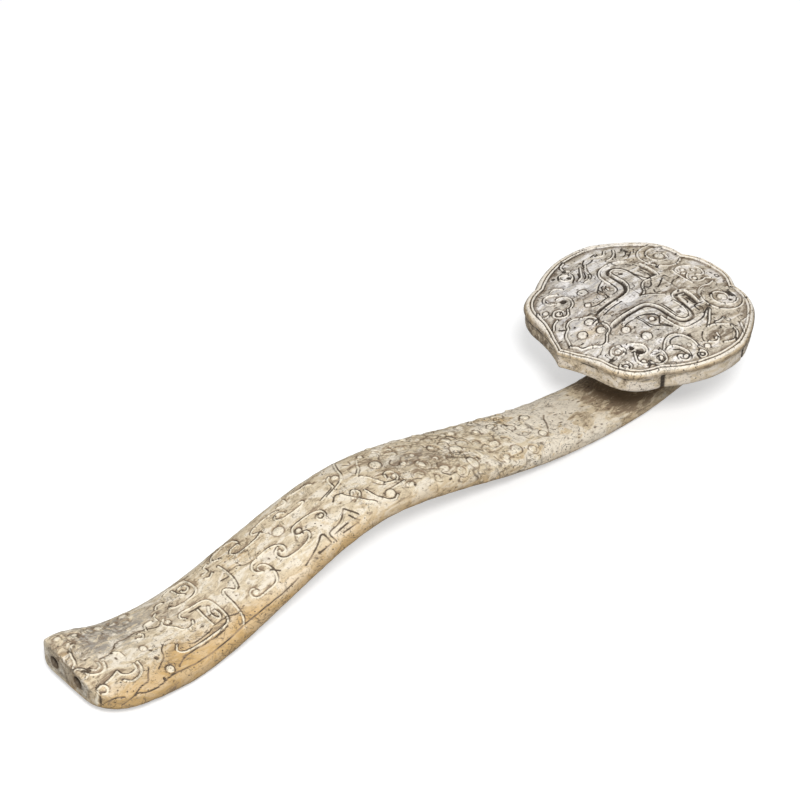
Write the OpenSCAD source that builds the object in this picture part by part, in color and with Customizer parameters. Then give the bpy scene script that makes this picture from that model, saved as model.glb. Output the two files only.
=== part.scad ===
// Jade ruyi scepter: a long arched shaft of carved jade whose far end curls up
// under a cloud-shaped head plaque. The plaque is a second piece of jade, held
// on the shaft's neck by two bamboo dowels and a film of lacquer.
// X runs from the tail to the head, Y is across, Z is up. The origin lies on
// the ground under the middle of the length.

/* [Overall] */
// Length from the tail's end face to the tip of the head
overall_len = 461; // [440:1:480]
// Height of the underside of the head plaque above the ground
plaque_under_z = 50; // [47:0.5:56]

/* [Shaft] */
// Width of the shaft at its widest, near the tail
tail_w = 62.4; // [56:0.4:70]
// Width of the shaft at the crown of the arch
arch_w = 49; // [44:1:54]
// Width of the shaft where it passes under the head
neck_w = 43; // [38:1:46]
// Thickness of the shaft a little before its tail
tail_t = 18.6; // [16:0.2:20]
// Thickness of the shaft where it passes under the head
neck_t = 16; // [14:0.2:17]
// Thickness of the shaft at its end face
end_face_t = 15.8; // [13:0.2:17]
// Height of the underside at the crown of the arch
arch_h = 30.8; // [20:0.2:34]
// Height to which the end face's lower edge is lifted
tail_lift = 7; // [2:0.5:8]
// How much is rubbed flat where the shaft stands on the ground
ground_flat = 0.35; // [0.2:0.05:0.6]
// How square the section is: 2 is an ellipse
section_power = 2.7; // [2.2:0.1:3.4]
// Length of the big rounding on one corner of the tail
corner_len = 32.5; // [24:0.5:48]
// How far that rounding cuts into the width of the end face
corner_cut = 21.5; // [14:0.5:28]

/* [Neck] */
// Radius of the curl that turns the shaft up under the head, at mid thickness
curl_r = 20; // [17:0.5:22]
// Width of the oval pad on top of the neck
pad_w = 44; // [40:1:50]
// Length of that pad
pad_l = 30; // [26:1:34]

/* [Head plaque] */
// Length of the plaque from its cusp to its tip
head_l = 127.5; // [120:0.5:134]
// Width of the plaque over its side lobes
head_w = 129; // [120:0.5:136]
// Height of the plaque's plain side wall
rim_t = 11; // [9:0.5:13]
// Height of the dome over the top of the side wall
dome_h = 8.5; // [6:0.5:10]
// Depth of the carved field inside the rim band
field_d = 1.1; // [0.6:0.1:1.6]
// Width of the rim band as a part of the plaque's size
rim_part = 0.085; // [0.06:0.005:0.12]
// Diameter of the two scroll roundels
roundel_d = 24; // [18:0.5:26]

/* [Cord holes] */
// Diameter of the two cord holes in the end face
cord_hole_d = 6.8; // [5:0.2:7.4]
// Depth of the cord holes
cord_hole_l = 18; // [12:1:24]
// Distance between their centres
cord_hole_gap = 20; // [16:0.2:22]

/* [Joint] */
// Diameter of the bamboo dowels
dowel_d = 6; // [5:0.2:7]
// Length of the dowels
dowel_l = 21; // [16:1:22]
// Distance between the two dowels
dowel_gap = 22; // [18:1:26]
// Radial clearance around a dowel
dowel_clear = 0.1; // [0.05:0.05:0.2]
// Thickness of the lacquer film under the plaque
film_t = 0.3; // [0.2:0.05:0.5]

/* [Hidden] */
JADE = "#cfc09a";
GREY_JADE = "#cdc5b4";
LACQUER = "#33231a";
BAMBOO = "#b98f57";

tail_x = -overall_len / 2;
tip_x = overall_len / 2;
cusp_x = tip_x - head_l;
ring_points = 36;

// The underside of the shaft seen from the side: [x, z, slope]. It stands on
// the ground near the tail and under the head.
tail_rest_x = tail_x + 0.115 * overall_len;
crown_x = tail_x + 0.4078 * overall_len;
fall_x = tail_x + 0.6009 * overall_len;
head_rest_x = tail_x + 0.7983 * overall_len;
curl_x = tail_x + 0.9197 * overall_len;
curl_start_z = 0.14 * plaque_under_z;
curl_slope = 0.22;
UNDERSIDE = [
    [tail_x, tail_lift - ground_flat, -0.04],
    [tail_rest_x, -ground_flat, 0],
    [crown_x, arch_h, 0],
    [fall_x, arch_h * 0.42, -0.0081 * arch_h],
    [head_rest_x, -ground_flat, 0],
    [curl_x, curl_start_z, curl_slope]
];
// Half of the width and of the thickness along the shaft: [x, half, slope]
HALF_W = [
    [tail_x, tail_w / 2, -0.04],
    [tail_rest_x, 0.481 * tail_w, -0.06],
    [crown_x, 0.506 * arch_w, -0.01],
    [fall_x, 0.494 * arch_w, -0.01],
    [head_rest_x, 0.505 * neck_w, -0.01],
    [curl_x, neck_w / 2, 0]
];
HALF_T = [
    [tail_x, end_face_t / 2, 0.1],
    [tail_rest_x, tail_t / 2, 0],
    [crown_x, (tail_t + neck_t) / 4, -0.005],
    [head_rest_x, neck_t / 2, 0],
    [curl_x, neck_t / 2, 0]
];

// Smooth curve through knots of the form [x, value, slope]
function knot_index(knots, x, i = 0) =
    i + 2 >= len(knots) || x <= knots[i + 1][0] ? i : knot_index(knots, x, i + 1);
function hermite(a, b, t, span) =
    a[1] * (1 - 3 * t * t + 2 * t * t * t) + b[1] * (3 * t * t - 2 * t * t * t)
    + span * (a[2] * (t - 2 * t * t + t * t * t) + b[2] * (t * t * t - t * t));
function curve(knots, x) =
    let (i = knot_index(knots, x), a = knots[i], b = knots[i + 1], span = b[0] - a[0])
    hermite(a, b, (x - a[0]) / span, span);
function slope(knots, x) = (curve(knots, x + 0.5) - curve(knots, x - 0.5));

// Rounded corner of the tail in plan: how much width is lost at x
function corner_loss(x, run, cut) =
    x >= tail_x + run ? 0 : let (t = (tail_x + run - x) / run) cut * (1 - sqrt(1 - min(1, t * t)));

// One cross-section: a squared ellipse, half sizes a (across) and b (through)
function signed_power(v, p) = sign(v) * pow(abs(v), p);
function ring(centre, angle, mid_y, a, b, power) = [
    for (k = [0 : ring_points - 1])
        let (
            turn = 360 * k / ring_points,
            across = mid_y + a * signed_power(cos(turn), 2 / power),
            through = b * signed_power(sin(turn), 2 / power)
        )
        [centre[0] - through * sin(angle), across, centre[1] + through * cos(angle)]
];

// The part of the shaft between the end face and the curl. Its end face is
// square to X, with eased edges and full corners, and the far side tapers a
// little there. The tail grows thicker toward its far side.
edge_ease = 1.2;
square_len = 24;
far_corner_r = 1.5;
far_taper_len = 16;
far_taper = 1.5;
end_power = 6;
end_power_len = 26;
wedge = 0.0113;
wedge_len = 35;
wedge_middle = 9;
body_steps = 66;
function tilt(x) = atan(slope(UNDERSIDE, x)) * min(1, (x - tail_x) / square_len);
function near_end(x, run) = max(0, 1 - (x - tail_x) / run);
function body_ring(x, shrink) =
    let (
        half_w = curve(HALF_W, x) - shrink,
        far = half_w - corner_loss(x, far_corner_r, far_corner_r)
            - corner_loss(x, far_taper_len, far_taper),
        near = half_w - corner_loss(x, corner_len, corner_cut),
        half_t = curve(HALF_T, x),
        low = curve(UNDERSIDE, x),
        grow = wedge * near_end(x, wedge_len),
        power = section_power + (end_power - section_power) * near_end(x, end_power_len)
    )
    [for (p = ring([x, low + half_t], tilt(x), (far - near) / 2, (far + near) / 2, half_t - shrink, power))
        [p.x, p.y, low + (p.z - low) * (1 + grow * (p.y - wedge_middle))]];
function body_x(i) =
    let (t = i / body_steps, first = tail_x + edge_ease)
    first + (curl_x - first) * (0.45 * t + 0.55 * t * t * (2 - t));

// The curl and the neck, which flares into the pad
start_angle = atan(curl_slope);
end_angle = 97;
curl_steps = 16;
neck_steps = 6;
pad_top = plaque_under_z - film_t;
curl_from = [curl_x, curve(UNDERSIDE, curl_x) + neck_t / 2];
function curl_point(angle) =
    curl_from + curl_r * [sin(angle) - sin(start_angle), cos(start_angle) - cos(angle)];
curl_end = curl_point(end_angle);
pad_x = curl_end[0] - 1.4;
function flare(t) = pow(t, 1.8);
function neck_ring(t) =
    ring([curl_end[0] + (pad_x - curl_end[0]) * t, curl_end[1] + (pad_top - curl_end[1]) * t],
         end_angle + (90 - end_angle) * t, 0,
         neck_w / 2 + (pad_w / 2 - neck_w / 2) * flare(t),
         neck_t / 2 + (pad_l / 2 - neck_t / 2) * flare(t),
         section_power - (section_power - 2) * t);
curl_rings = [
    for (i = [1 : curl_steps])
        let (angle = start_angle + (end_angle - start_angle) * i / curl_steps)
        ring(curl_point(angle), angle, 0, neck_w / 2, neck_t / 2, section_power)
];
shaft_rings = concat(
    [body_ring(tail_x, edge_ease)],
    [for (i = [0 : body_steps]) body_ring(body_x(i), 0)],
    curl_rings,
    [for (i = [1 : neck_steps]) neck_ring(i / neck_steps)]
);

// Solid skin over a list of rings that all have the same number of points. Each
// end is closed by a fan of triangles about its middle.
function middle(points) = [for (p = points) 1] * points / len(points);
module loft(rings) {
    n = len(rings[0]);
    last = len(rings) - 1;
    first_mid = n * len(rings);
    last_mid = first_mid + 1;
    sides = [
        for (i = [0 : last - 1], k = [0 : n - 1])
            [i * n + k, (i + 1) * n + k, (i + 1) * n + (k + 1) % n, i * n + (k + 1) % n]
    ];
    first_fan = [for (k = [0 : n - 1]) [k, (k + 1) % n, first_mid]];
    last_fan = [for (k = [0 : n - 1]) [last * n + (k + 1) % n, last * n + k, last_mid]];
    polyhedron(
        concat([for (r = rings) for (p = r) p], [middle(rings[0]), middle(rings[last])]),
        concat(first_fan, last_fan, sides), convexity = 10
    );
}

// Cord holes, set toward the far side of the end face
cord_hole_y = 10;
cord_hole_z = tail_lift + end_face_t / 2;
module cord_holes() {
    for (side = [-1, 1])
        translate([tail_x - 1, cord_hole_y + side * cord_hole_gap / 2, cord_hole_z])
            rotate([0, 90, 0]) cylinder(h = cord_hole_l + 1, d = cord_hole_d, $fn = 48);
}

// Dowels and their sockets stand upright at the middle of the pad
dowel_drop = dowel_l / 2;
socket_spare = 0.5;
module dowel_socket(side) {
    translate([pad_x, side * dowel_gap / 2, plaque_under_z - dowel_drop - socket_spare])
        cylinder(h = dowel_l + 2 * socket_spare, d = dowel_d + 2 * dowel_clear, $fn = 40);
}
module dowel(side) {
    chamfer = 0.6;
    color(BAMBOO)
        translate([pad_x, side * dowel_gap / 2, plaque_under_z - dowel_drop])
            rotate_extrude($fn = 40)
                polygon([
                    [0, 0], [dowel_d / 2 - chamfer, 0], [dowel_d / 2, chamfer],
                    [dowel_d / 2, dowel_l - chamfer], [dowel_d / 2 - chamfer, dowel_l], [0, dowel_l]
                ]);
}

// Outline of the plaque, as a round-lobed cloud. Each stretch is an arc given
// by its two ends and its rise; a negative rise is hollow.
function arc_between(p, q, rise, steps) =
    let (chord = q - p, span = norm(chord), out = [-chord[1], chord[0]] / span)
    [
        for (i = [0 : steps - 1])
            let (t = i / steps) p + chord * t + out * rise * 4 * t * (1 - t)
    ];
CUSP = [0, 0];
FLANK = [8.5, 26.5];
FRONT_NOTCH = [31.5, 52.3];
SIDE_NOTCH = [85, 63.5];
SHOULDER = [110, 46.8];
TIP_NOTCH = [121, 21];
TIP = [127.5, 0];
OUTLINE_W = 129;
half_outline = concat(
    arc_between(CUSP, FLANK, -1.3, 7),
    arc_between(FLANK, FRONT_NOTCH, 6.5, 9),
    arc_between(FRONT_NOTCH, SIDE_NOTCH, 6.2, 12),
    arc_between(SIDE_NOTCH, SHOULDER, 1.2, 6),
    arc_between(SHOULDER, TIP_NOTCH, 3.3, 7),
    arc_between(TIP_NOTCH, TIP, 2.2, 6)
);
outline = concat(
    half_outline, [TIP],
    [for (i = [len(half_outline) - 1 : -1 : 1]) [half_outline[i][0], -half_outline[i][1]]]
);
head_mid = 62;
function plaque_ring(part, z) = [
    for (i = [len(outline) - 1 : -1 : 0])
        let (p = outline[i])
        [
            cusp_x + (head_mid + (p[0] - head_mid) * part) * head_l / TIP[0],
            p[1] * part * head_w / OUTLINE_W, z
        ]
];
rim_top = plaque_under_z + rim_t;
function dome_z(part) = rim_top + 3 + (dome_h - 3) * (1 - part * part);
field_edge = 1 - rim_part;
plaque_rings = concat(
    [
        plaque_ring(0.965, plaque_under_z), plaque_ring(0.99, plaque_under_z + 0.8),
        plaque_ring(1, plaque_under_z + 2.4), plaque_ring(1, rim_top - 0.8),
        plaque_ring(0.992, rim_top + 0.6), plaque_ring(0.975, rim_top + 2.2),
        plaque_ring(0.955, dome_z(0.955)), plaque_ring(field_edge + 0.006, dome_z(field_edge))
    ],
    [
        for (part = [field_edge - 0.006, 0.8, 0.68, 0.55, 0.42, 0.29, 0.16])
            plaque_ring(part, dome_z(part) - field_d)
    ]
);

// Raised bosses and roundels on the face: [s from the cusp, r across, diameter]
BOSSES = [
    [27.5, 4.5, 6], [27.5, -4.5, 6], [18, 0, 5.6], [44.5, 26.5, 6.4], [44.5, -26.5, 6.4],
    [57, 19, 5], [57, -19, 5], [50, 47, 6.4], [50, -47, 6.4]
];
ROUNDELS = [[105, 26], [105, -26]];
root = 4;
function face_z(s, r) = dome_z(norm([(s - head_mid) / 65.5, r / 65])) - field_d;
function face_point(p, above) =
    [cusp_x + p[0] * head_l / TIP[0], p[1] * head_w / OUTLINE_W, face_z(p[0], p[1]) + above];
module boss(s, r, d, rise) {
    translate(face_point([s, r], -root)) cylinder(h = root + rise, d = d, $fn = 28);
}

// Raised bands of the mask: the nose, its two arms and the forehead. Each is a
// strip along a line of [s, r, width], with its top on the dome.
NOSE = [[31, -0.8, 10.6], [42, 0.2, 11.2], [54, 0.9, 12.4], [61, 1, 14.6], [67, 1, 21]];
FAR_ARM = [[66.5, 7.5, 8], [70.6, 12, 8.6], [72.8, 18, 8.8], [73, 25, 8.6], [73, 30, 6]];
NEAR_ARM = [[66.5, -6, 8], [70.4, -10.5, 8.6], [72.6, -17, 9], [72.4, -24, 8.8], [72.4, -29.4, 6]];
FOREHEAD = [[69, 0.8, 18], [78, 0.9, 19.4], [89.4, 0.9, 18.6]];
module band(path, rise) {
    last = len(path) - 1;
    loft([
        for (i = [0 : last])
            let (
                here = [path[i][0], path[i][1]],
                ahead = path[min(i + 1, last)] - path[max(i - 1, 0)],
                left = [-ahead[1], ahead[0]] / norm([ahead[0], ahead[1]]) * path[i][2] / 2
            )
            [
                face_point(here + left, rise), face_point(here - left, rise),
                face_point(here - left, -root), face_point(here + left, -root)
            ]
    ]);
}

// Patches of the mask, by their corners [s, r]: the cloud over the cusp, the
// brow scroll, the two cheek scrolls that stand up, and the two sunk eyes
CLOUD = [
    [7.6, -3], [12, -10], [19.6, -15], [26, -12.8], [32, -8], [33, 0], [31, 7.6], [24.6, 11.6],
    [18, 10.8], [11.4, 4.8]
];
BROW = [[100.4, -3], [104, -7.6], [111, -5], [114.2, 1], [110.6, 8], [104, 9.8], [100.4, 6]];
NEAR_SCROLL = [[43.4, -42], [47, -53], [54, -54], [60, -49], [60.6, -42], [56.6, -36.4], [49, -35.8]];
FAR_SCROLL = [[46, 41.6], [52, 41.6], [60.6, 36], [66, 46], [57, 54], [49, 50.6], [45.4, 46.6]];
FAR_EYE = [[50.8, 13.6], [58, 13.8], [61.8, 18], [61.8, 26], [56, 24.6], [51, 20.6]];
NEAR_EYE = [[51.4, -12], [52.2, -20.6], [56, -26], [60, -25.6], [60.4, -17], [57, -12.4]];
module patch(points, low, high) {
    loft([for (above = [low, high]) [for (p = points) face_point(p, above)]]);
}

module shaft() {
    color(JADE)
        difference() {
            loft(shaft_rings);
            translate([tail_x - 10, -tail_w, -20]) cube([overall_len + 20, 2 * tail_w, 20]);
            cord_holes();
            dowel_socket(1);
            dowel_socket(-1);
        }
}

module head_plaque() {
    color(GREY_JADE)
        difference() {
            union() {
                difference() {
                    loft(plaque_rings);
                    for (p = [FAR_EYE, NEAR_EYE]) patch(p, -0.5, root);
                }
                band(NOSE, 0.55);
                for (arm = [FAR_ARM, NEAR_ARM]) band(arm, 0.75);
                band(FOREHEAD, 0.4);
                for (p = [CLOUD, BROW, NEAR_SCROLL, FAR_SCROLL]) patch(p, -root, 0.5);
                for (b = BOSSES) boss(b[0], b[1], b[2], 0.9);
                for (r = ROUNDELS) {
                    boss(r[0], r[1], roundel_d, 0.5);
                    boss(r[0], r[1], 6, 1.2);
                }
            }
            dowel_socket(1);
            dowel_socket(-1);
        }
}

module lacquer_film() {
    inset = 0.8;
    film_points = 48;
    color(LACQUER)
        translate([pad_x, 0, pad_top])
            difference() {
                linear_extrude(film_t)
                    polygon([
                        for (k = [0 : film_points - 1])
                            let (turn = 360 * k / film_points)
                            [(pad_l / 2 - inset) * cos(turn), (pad_w / 2 - inset) * sin(turn)]
                    ]);
                for (side = [-1, 1])
                    translate([0, side * dowel_gap / 2, -1])
                        cylinder(h = film_t + 2, d = dowel_d + 2 * dowel_clear, $fn = 40);
            }
}

module dowel_far() {
    dowel(1);
}

module dowel_near() {
    dowel(-1);
}

shaft();
head_plaque();
lacquer_film();
dowel_far();
dowel_near();
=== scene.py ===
import math

import bmesh
import bpy
import numpy as np
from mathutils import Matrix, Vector
from mathutils.geometry import delaunay_2d_cdt


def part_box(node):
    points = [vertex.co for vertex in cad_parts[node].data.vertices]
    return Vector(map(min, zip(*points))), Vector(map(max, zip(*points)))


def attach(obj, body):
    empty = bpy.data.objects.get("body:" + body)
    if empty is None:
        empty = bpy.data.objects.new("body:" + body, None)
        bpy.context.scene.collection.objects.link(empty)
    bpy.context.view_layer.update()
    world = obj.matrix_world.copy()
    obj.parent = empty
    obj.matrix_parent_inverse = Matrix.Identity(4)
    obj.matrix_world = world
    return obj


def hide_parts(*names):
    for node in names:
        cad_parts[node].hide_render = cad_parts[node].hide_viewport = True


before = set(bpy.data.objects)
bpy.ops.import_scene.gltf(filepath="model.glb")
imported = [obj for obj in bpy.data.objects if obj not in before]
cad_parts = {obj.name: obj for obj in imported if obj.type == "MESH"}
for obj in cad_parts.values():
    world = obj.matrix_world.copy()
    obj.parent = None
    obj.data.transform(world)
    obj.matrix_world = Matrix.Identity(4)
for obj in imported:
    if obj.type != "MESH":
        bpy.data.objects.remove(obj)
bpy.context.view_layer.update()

# Camera: the view is taken with a long lens from over the tail's rounded
# corner, along the scepter and down on it, so that the head lies upper right.
MM = 0.001
VIEW_TURN = math.radians(41.0)
VIEW_DOWN = math.radians(37.5)
AIM = Vector((-13.0, 0.0, 86.7)) * MM
CAMERA_DISTANCE = 1.596
LENS_MM = 135.0
SENSOR_MM = 36.0
SEES_AS_FAR_AS = 50.0

level = Vector((math.sin(VIEW_TURN), math.cos(VIEW_TURN), 0.0))
forward = level * math.cos(VIEW_DOWN) - Vector((0, 0, 1)) * math.sin(VIEW_DOWN)
camera_data = bpy.data.cameras.new("camera")
camera_data.lens = LENS_MM
camera_data.sensor_width = SENSOR_MM
camera_data.clip_end = SEES_AS_FAR_AS
camera = bpy.data.objects.new("camera", camera_data)
camera.location = AIM - forward * CAMERA_DISTANCE
camera.rotation_euler = forward.to_track_quat("-Z", "Y").to_euler()
bpy.context.collection.objects.link(camera)
bpy.context.scene.camera = camera
bpy.context.scene.view_settings.view_transform = "Standard"


# Floor and light: a plain white floor under one soft lamp, which stands above
# and a little behind the camera, with a dim surround that is brighter overhead.
# To the camera alone the floor is whiter and glows a little, so that it shows as
# a white ground and still keeps the shadow.
class Wire:
    """A shader socket that is reckoned with like a number: each operator adds its Math node."""

    def __init__(self, tree, socket=None):
        self.tree = tree
        self.socket = socket

    def add(self, kind, settings=None, inputs=None, out=0):
        """Adds a node of any kind, sets its settings, then its sockets, and gives one output."""
        node = self.tree.nodes.new(kind)
        for key, value in (settings or {}).items():
            if key == "stops":
                ramp = node.color_ramp.elements
                while len(ramp) < len(value):
                    ramp.new(0.5)
                for stop, (place, colour) in zip(ramp, value):
                    stop.position = place
                    stop.color = colour
            else:
                setattr(node, key, value)
        for key, value in (inputs or {}).items():
            if isinstance(value, Wire):
                self.tree.links.new(value.socket, node.inputs[key])
            else:
                node.inputs[key].default_value = value
        return Wire(self.tree, node.outputs[out] if len(node.outputs) else None)

    def maths(self, operation, a, b=0.0, clamp=False):
        """One Math node on two values, kept between 0 and 1 where clamp is set."""
        return self.add("ShaderNodeMath", {"operation": operation, "use_clamp": clamp}, {0: a, 1: b})

    def __add__(self, other):
        return self.maths("ADD", self, other)

    def __sub__(self, other):
        return self.maths("SUBTRACT", self, other)

    def __rsub__(self, other):
        return self.maths("SUBTRACT", other, self)

    def __mul__(self, other):
        return self.maths("MULTIPLY", self, other)

    def __abs__(self):
        return self.maths("ABSOLUTE", self)

    __radd__ = __add__
    __rmul__ = __mul__

    def clip(self):
        """This value kept between 0 and 1."""
        return self.maths("ADD", self, 0.0, clamp=True)

    def between(self, low, high):
        """A smooth step: 0 where this value is at low, 1 where it is at high."""
        return self.add(
            "ShaderNodeMapRange", {"interpolation_type": "SMOOTHSTEP"},
            {"Value": self, "From Min": low, "From Max": high},
        )

    def mixed(self, colour_a, colour_b):
        """The first colour where this value is 0, the second where it is 1."""
        return self.add(
            "ShaderNodeMix", {"data_type": "RGBA", "clamp_factor": True},
            {0: self, 6: colour_a, 7: colour_b}, out=2,
        )

    def noise(self, scale, detail=3.0, roughness=0.55, warp=0.0):
        """Cloudy noise from 0 to 1 at this place; scale counts its blots in each metre."""
        return self.add(
            "ShaderNodeTexNoise", {},
            {"Vector": self, "Scale": scale, "Detail": detail, "Roughness": roughness, "Distortion": warp},
        )


def material(name):
    """A new material with an emptied tree, and a wire to start from."""
    made = bpy.data.materials.new(name)
    made.use_nodes = True
    made.node_tree.nodes.clear()
    return made, Wire(made.node_tree)


def finish_material(start, shader):
    """Joins the shader to the material's output."""
    start.add("ShaderNodeOutputMaterial", {}, {"Surface": shader})


def shade(level_of_grey):
    """A grey as a colour."""
    return (level_of_grey, level_of_grey, level_of_grey, 1.0)


FLOOR_SIZE = 12.0
FLOOR_WHITE = 0.4
FLOOR_SEEN_WHITER = 0.22
FLOOR_LIFT = 0.5
KEY_POWER = 44.0
KEY_SIZE = 0.42
KEY_AWAY = 2.2
KEY_TURN = math.radians(-126.0)
KEY_RISE = math.radians(47.0)
SKY_TOP = 0.75
SKY_LOW = 0.07

corners = np.array([(-1, -1, 0), (1, -1, 0), (1, 1, 0), (-1, 1, 0)]) * FLOOR_SIZE / 2
floor_mesh = bpy.data.meshes.new("floor")
floor_mesh.from_pydata(corners.tolist(), [], [(0, 1, 2, 3)])
floor = bpy.data.objects.new("floor", floor_mesh)
bpy.context.collection.objects.link(floor)
floor_paint, wire = material("white_floor")
seen = wire.add("ShaderNodeLightPath", out=0)
lift = wire.add("ShaderNodeEmission", {}, {"Color": shade(1.0), "Strength": seen * FLOOR_LIFT})
paint = wire.add("ShaderNodeBsdfDiffuse", {}, {"Color": seen * FLOOR_SEEN_WHITER + FLOOR_WHITE})
finish_material(wire, wire.add("ShaderNodeAddShader", {}, {0: paint, 1: lift}))
floor_mesh.materials.append(floor_paint)

world = bpy.data.worlds.new("surround")
world.use_nodes = True
world.node_tree.nodes.clear()
wire = Wire(world.node_tree)
seen = wire.add("ShaderNodeLightPath", out=0)
toward = wire.add("ShaderNodeSeparateXYZ", {}, {"Vector": wire.add("ShaderNodeTexCoord", out=0)}, out=2)
overhead = toward.clip()
dim = overhead * overhead * SKY_TOP + SKY_LOW
sky = wire.add("ShaderNodeBackground", {}, {"Color": shade(1.0), "Strength": seen + (1.0 - seen) * dim})
wire.add("ShaderNodeOutputWorld", {}, {"Surface": sky})
bpy.context.scene.world = world

key_data = bpy.data.lights.new("key", "AREA")
key_data.shape = "DISK"
key_data.size = KEY_SIZE
key_data.energy = KEY_POWER
key = bpy.data.objects.new("key", key_data)
to_key = Vector((
    math.cos(KEY_RISE) * math.cos(KEY_TURN), math.cos(KEY_RISE) * math.sin(KEY_TURN), math.sin(KEY_RISE),
))
key.location = AIM + to_key * KEY_AWAY
key.rotation_euler = to_key.to_track_quat("Z", "Y").to_euler()
bpy.context.collection.objects.link(key)


# Shaft: one bar of jade, ground to an arched, squared oval bar and curled up
# at the head end. Its upper side is carved with scrolls in fine raised lines,
# and the stone has gone chalky, with its tan skin left along one edge.
shaft_low, shaft_high = (np.array(corner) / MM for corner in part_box("shaft"))
tail_x = shaft_low[0]
TAIL_HALF_W = 31.2
TAIL_LIFT = 7.0
GROUND_FLAT = 0.35
TAIL_REST_AT = 53.0
CROWN_AT = 188.0
FALL_AT = 277.0
HEAD_REST_AT = 368.0
CURL_AT = 424.0
ARCH_H = 30.8
END_FACE_T = 15.8
SECTION_POWER = 2.7
END_POWER = 6.0
END_POWER_LEN = 26.0
# The end face is thicker toward its far side, by this share for each
# millimetre across. Its corners are cut away over a run, by a width.
WEDGE = 0.0113
WEDGE_LEN = 35.0
WEDGE_MIDDLE = 9.0
CORNER = (32.5, 21.5)
FAR_CORNER = (1.5, 1.5)
FAR_TAPER = (16.0, 1.5)
EDGE_EASE = 1.0
NECK_HALF_W = 21.5
NECK_HALF_T = 8.0
CURL_R = 20.0
CURL_SLOPE = 0.22
CURL_END = 97.0
PAD_HALF = (15.0, 22.0)
PAD_SHIFT = 1.4
PAD_TOP = shaft_high[2]

tail_rest_x, crown_x, fall_x, head_rest_x, curl_x = (
    tail_x + at for at in (TAIL_REST_AT, CROWN_AT, FALL_AT, HEAD_REST_AT, CURL_AT)
)
# Knots of place, value and slope along the bar: height of its underside, then
# half its width and half its thickness
UNDERSIDE = [
    (tail_x, TAIL_LIFT - GROUND_FLAT, -0.04), (tail_rest_x, -GROUND_FLAT, 0), (crown_x, ARCH_H, 0),
    (fall_x, ARCH_H * 0.42, -0.25), (head_rest_x, -GROUND_FLAT, 0), (curl_x, 7, CURL_SLOPE),
]
HALF_W = [
    (tail_x, TAIL_HALF_W, -0.04), (tail_rest_x, TAIL_HALF_W - 1.2, -0.06), (crown_x, 24.8, -0.01),
    (fall_x, 24.2, -0.01), (head_rest_x, 21.7, -0.01), (curl_x, NECK_HALF_W, 0),
]
HALF_T = [
    (tail_x, END_FACE_T / 2, 0.1), (tail_rest_x, 9.3, 0), (crown_x, 8.65, -0.005),
    (head_rest_x, NECK_HALF_T, 0), (curl_x, NECK_HALF_T, 0),
]


def curve(knots, x):
    """Smooth curve through knots of place, value and slope: in each span it is
    the cubic that leaves one knot and meets the next at their slopes."""
    knots = np.asarray(knots, float)
    i = np.clip(np.searchsorted(knots[:, 0], x) - 1, 0, len(knots) - 2)
    (xa, a, ga), (xb, b, gb) = knots[i].T, knots[i + 1].T
    span = xb - xa
    t = (x - xa) / span
    return (
        a * (1 - 3 * t**2 + 2 * t**3) + b * (3 * t**2 - 2 * t**3)
        + span * (ga * (t - 2 * t**2 + t**3) + gb * (t**3 - t**2))
    )


def corner_loss(x, run, cut):
    """Width lost to a rounding of the tail: a quarter ellipse of length run and depth cut."""
    t = np.clip((tail_x + run - x) / run, 0, 1)
    return cut * (1 - np.sqrt(1 - t**2))


def lattice_noise(points, cell, seed):
    """Smooth noise from -1 to 1: random values on a cubic lattice, blended
    between its corners with an eased step."""
    size = 31  # corners to a side, after which the lattice repeats
    values = np.random.default_rng(seed).uniform(-1, 1, (size, size, size))
    place = np.asarray(points) / cell
    low = np.floor(place).astype(int)
    t = place - low
    t = t * t * (3 - 2 * t)
    total = np.zeros(len(place))
    for corner in np.ndindex(2, 2, 2):
        step = np.array(corner)
        share = np.prod(np.where(step == 1, t, 1 - t), axis=1)
        i, j, k = ((low + step) % size).T
        total += share * values[i, j, k]
    return total


def layered_noise(points, *layers):
    """The sum of several noises, each given by its strength, cell and seed."""
    return sum(strength * lattice_noise(points, cell, seed) for strength, cell, seed in layers)


def smooth_path(points, steps=6):
    """A line through given points: each span is the cubic whose end slopes are half of the chord between
    the neighbours on both sides."""
    p = np.asarray(points, float)
    if len(p) == 2:
        return p
    p = np.vstack([2 * p[0] - p[1], p, 2 * p[-1] - p[-2]])
    a, b, c, d = p[:-3, None], p[1:-2, None], p[2:-1, None], p[3:, None]
    t = (np.arange(steps) / steps)[None, :, None]
    line = 0.5 * (2 * b + (c - a) * t + (2 * a - 5 * b + 4 * c - d) * t**2 + (3 * b - a - 3 * c + d) * t**3)
    return np.vstack([line.reshape(-1, 2), p[-2:-1]])


def curl(middle, start_r, end_r, start, end):
    """A spiral about a middle: its radius runs evenly from one value to the
    other while its angle, in degrees, turns from start to end."""
    count = max(6, int(abs(end - start) / 15))
    t = np.linspace(0, 1, count)
    angle = np.radians(start + (end - start) * t)
    radius = start_r + (end_r - start_r) * t
    return np.column_stack([middle[0] + radius * np.cos(angle), middle[1] + radius * np.sin(angle)])


def bell(distance, width):
    """A bell curve: 1 where the distance is 0, and about a third of that at the width."""
    return np.exp(-((distance / width) ** 2))


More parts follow.
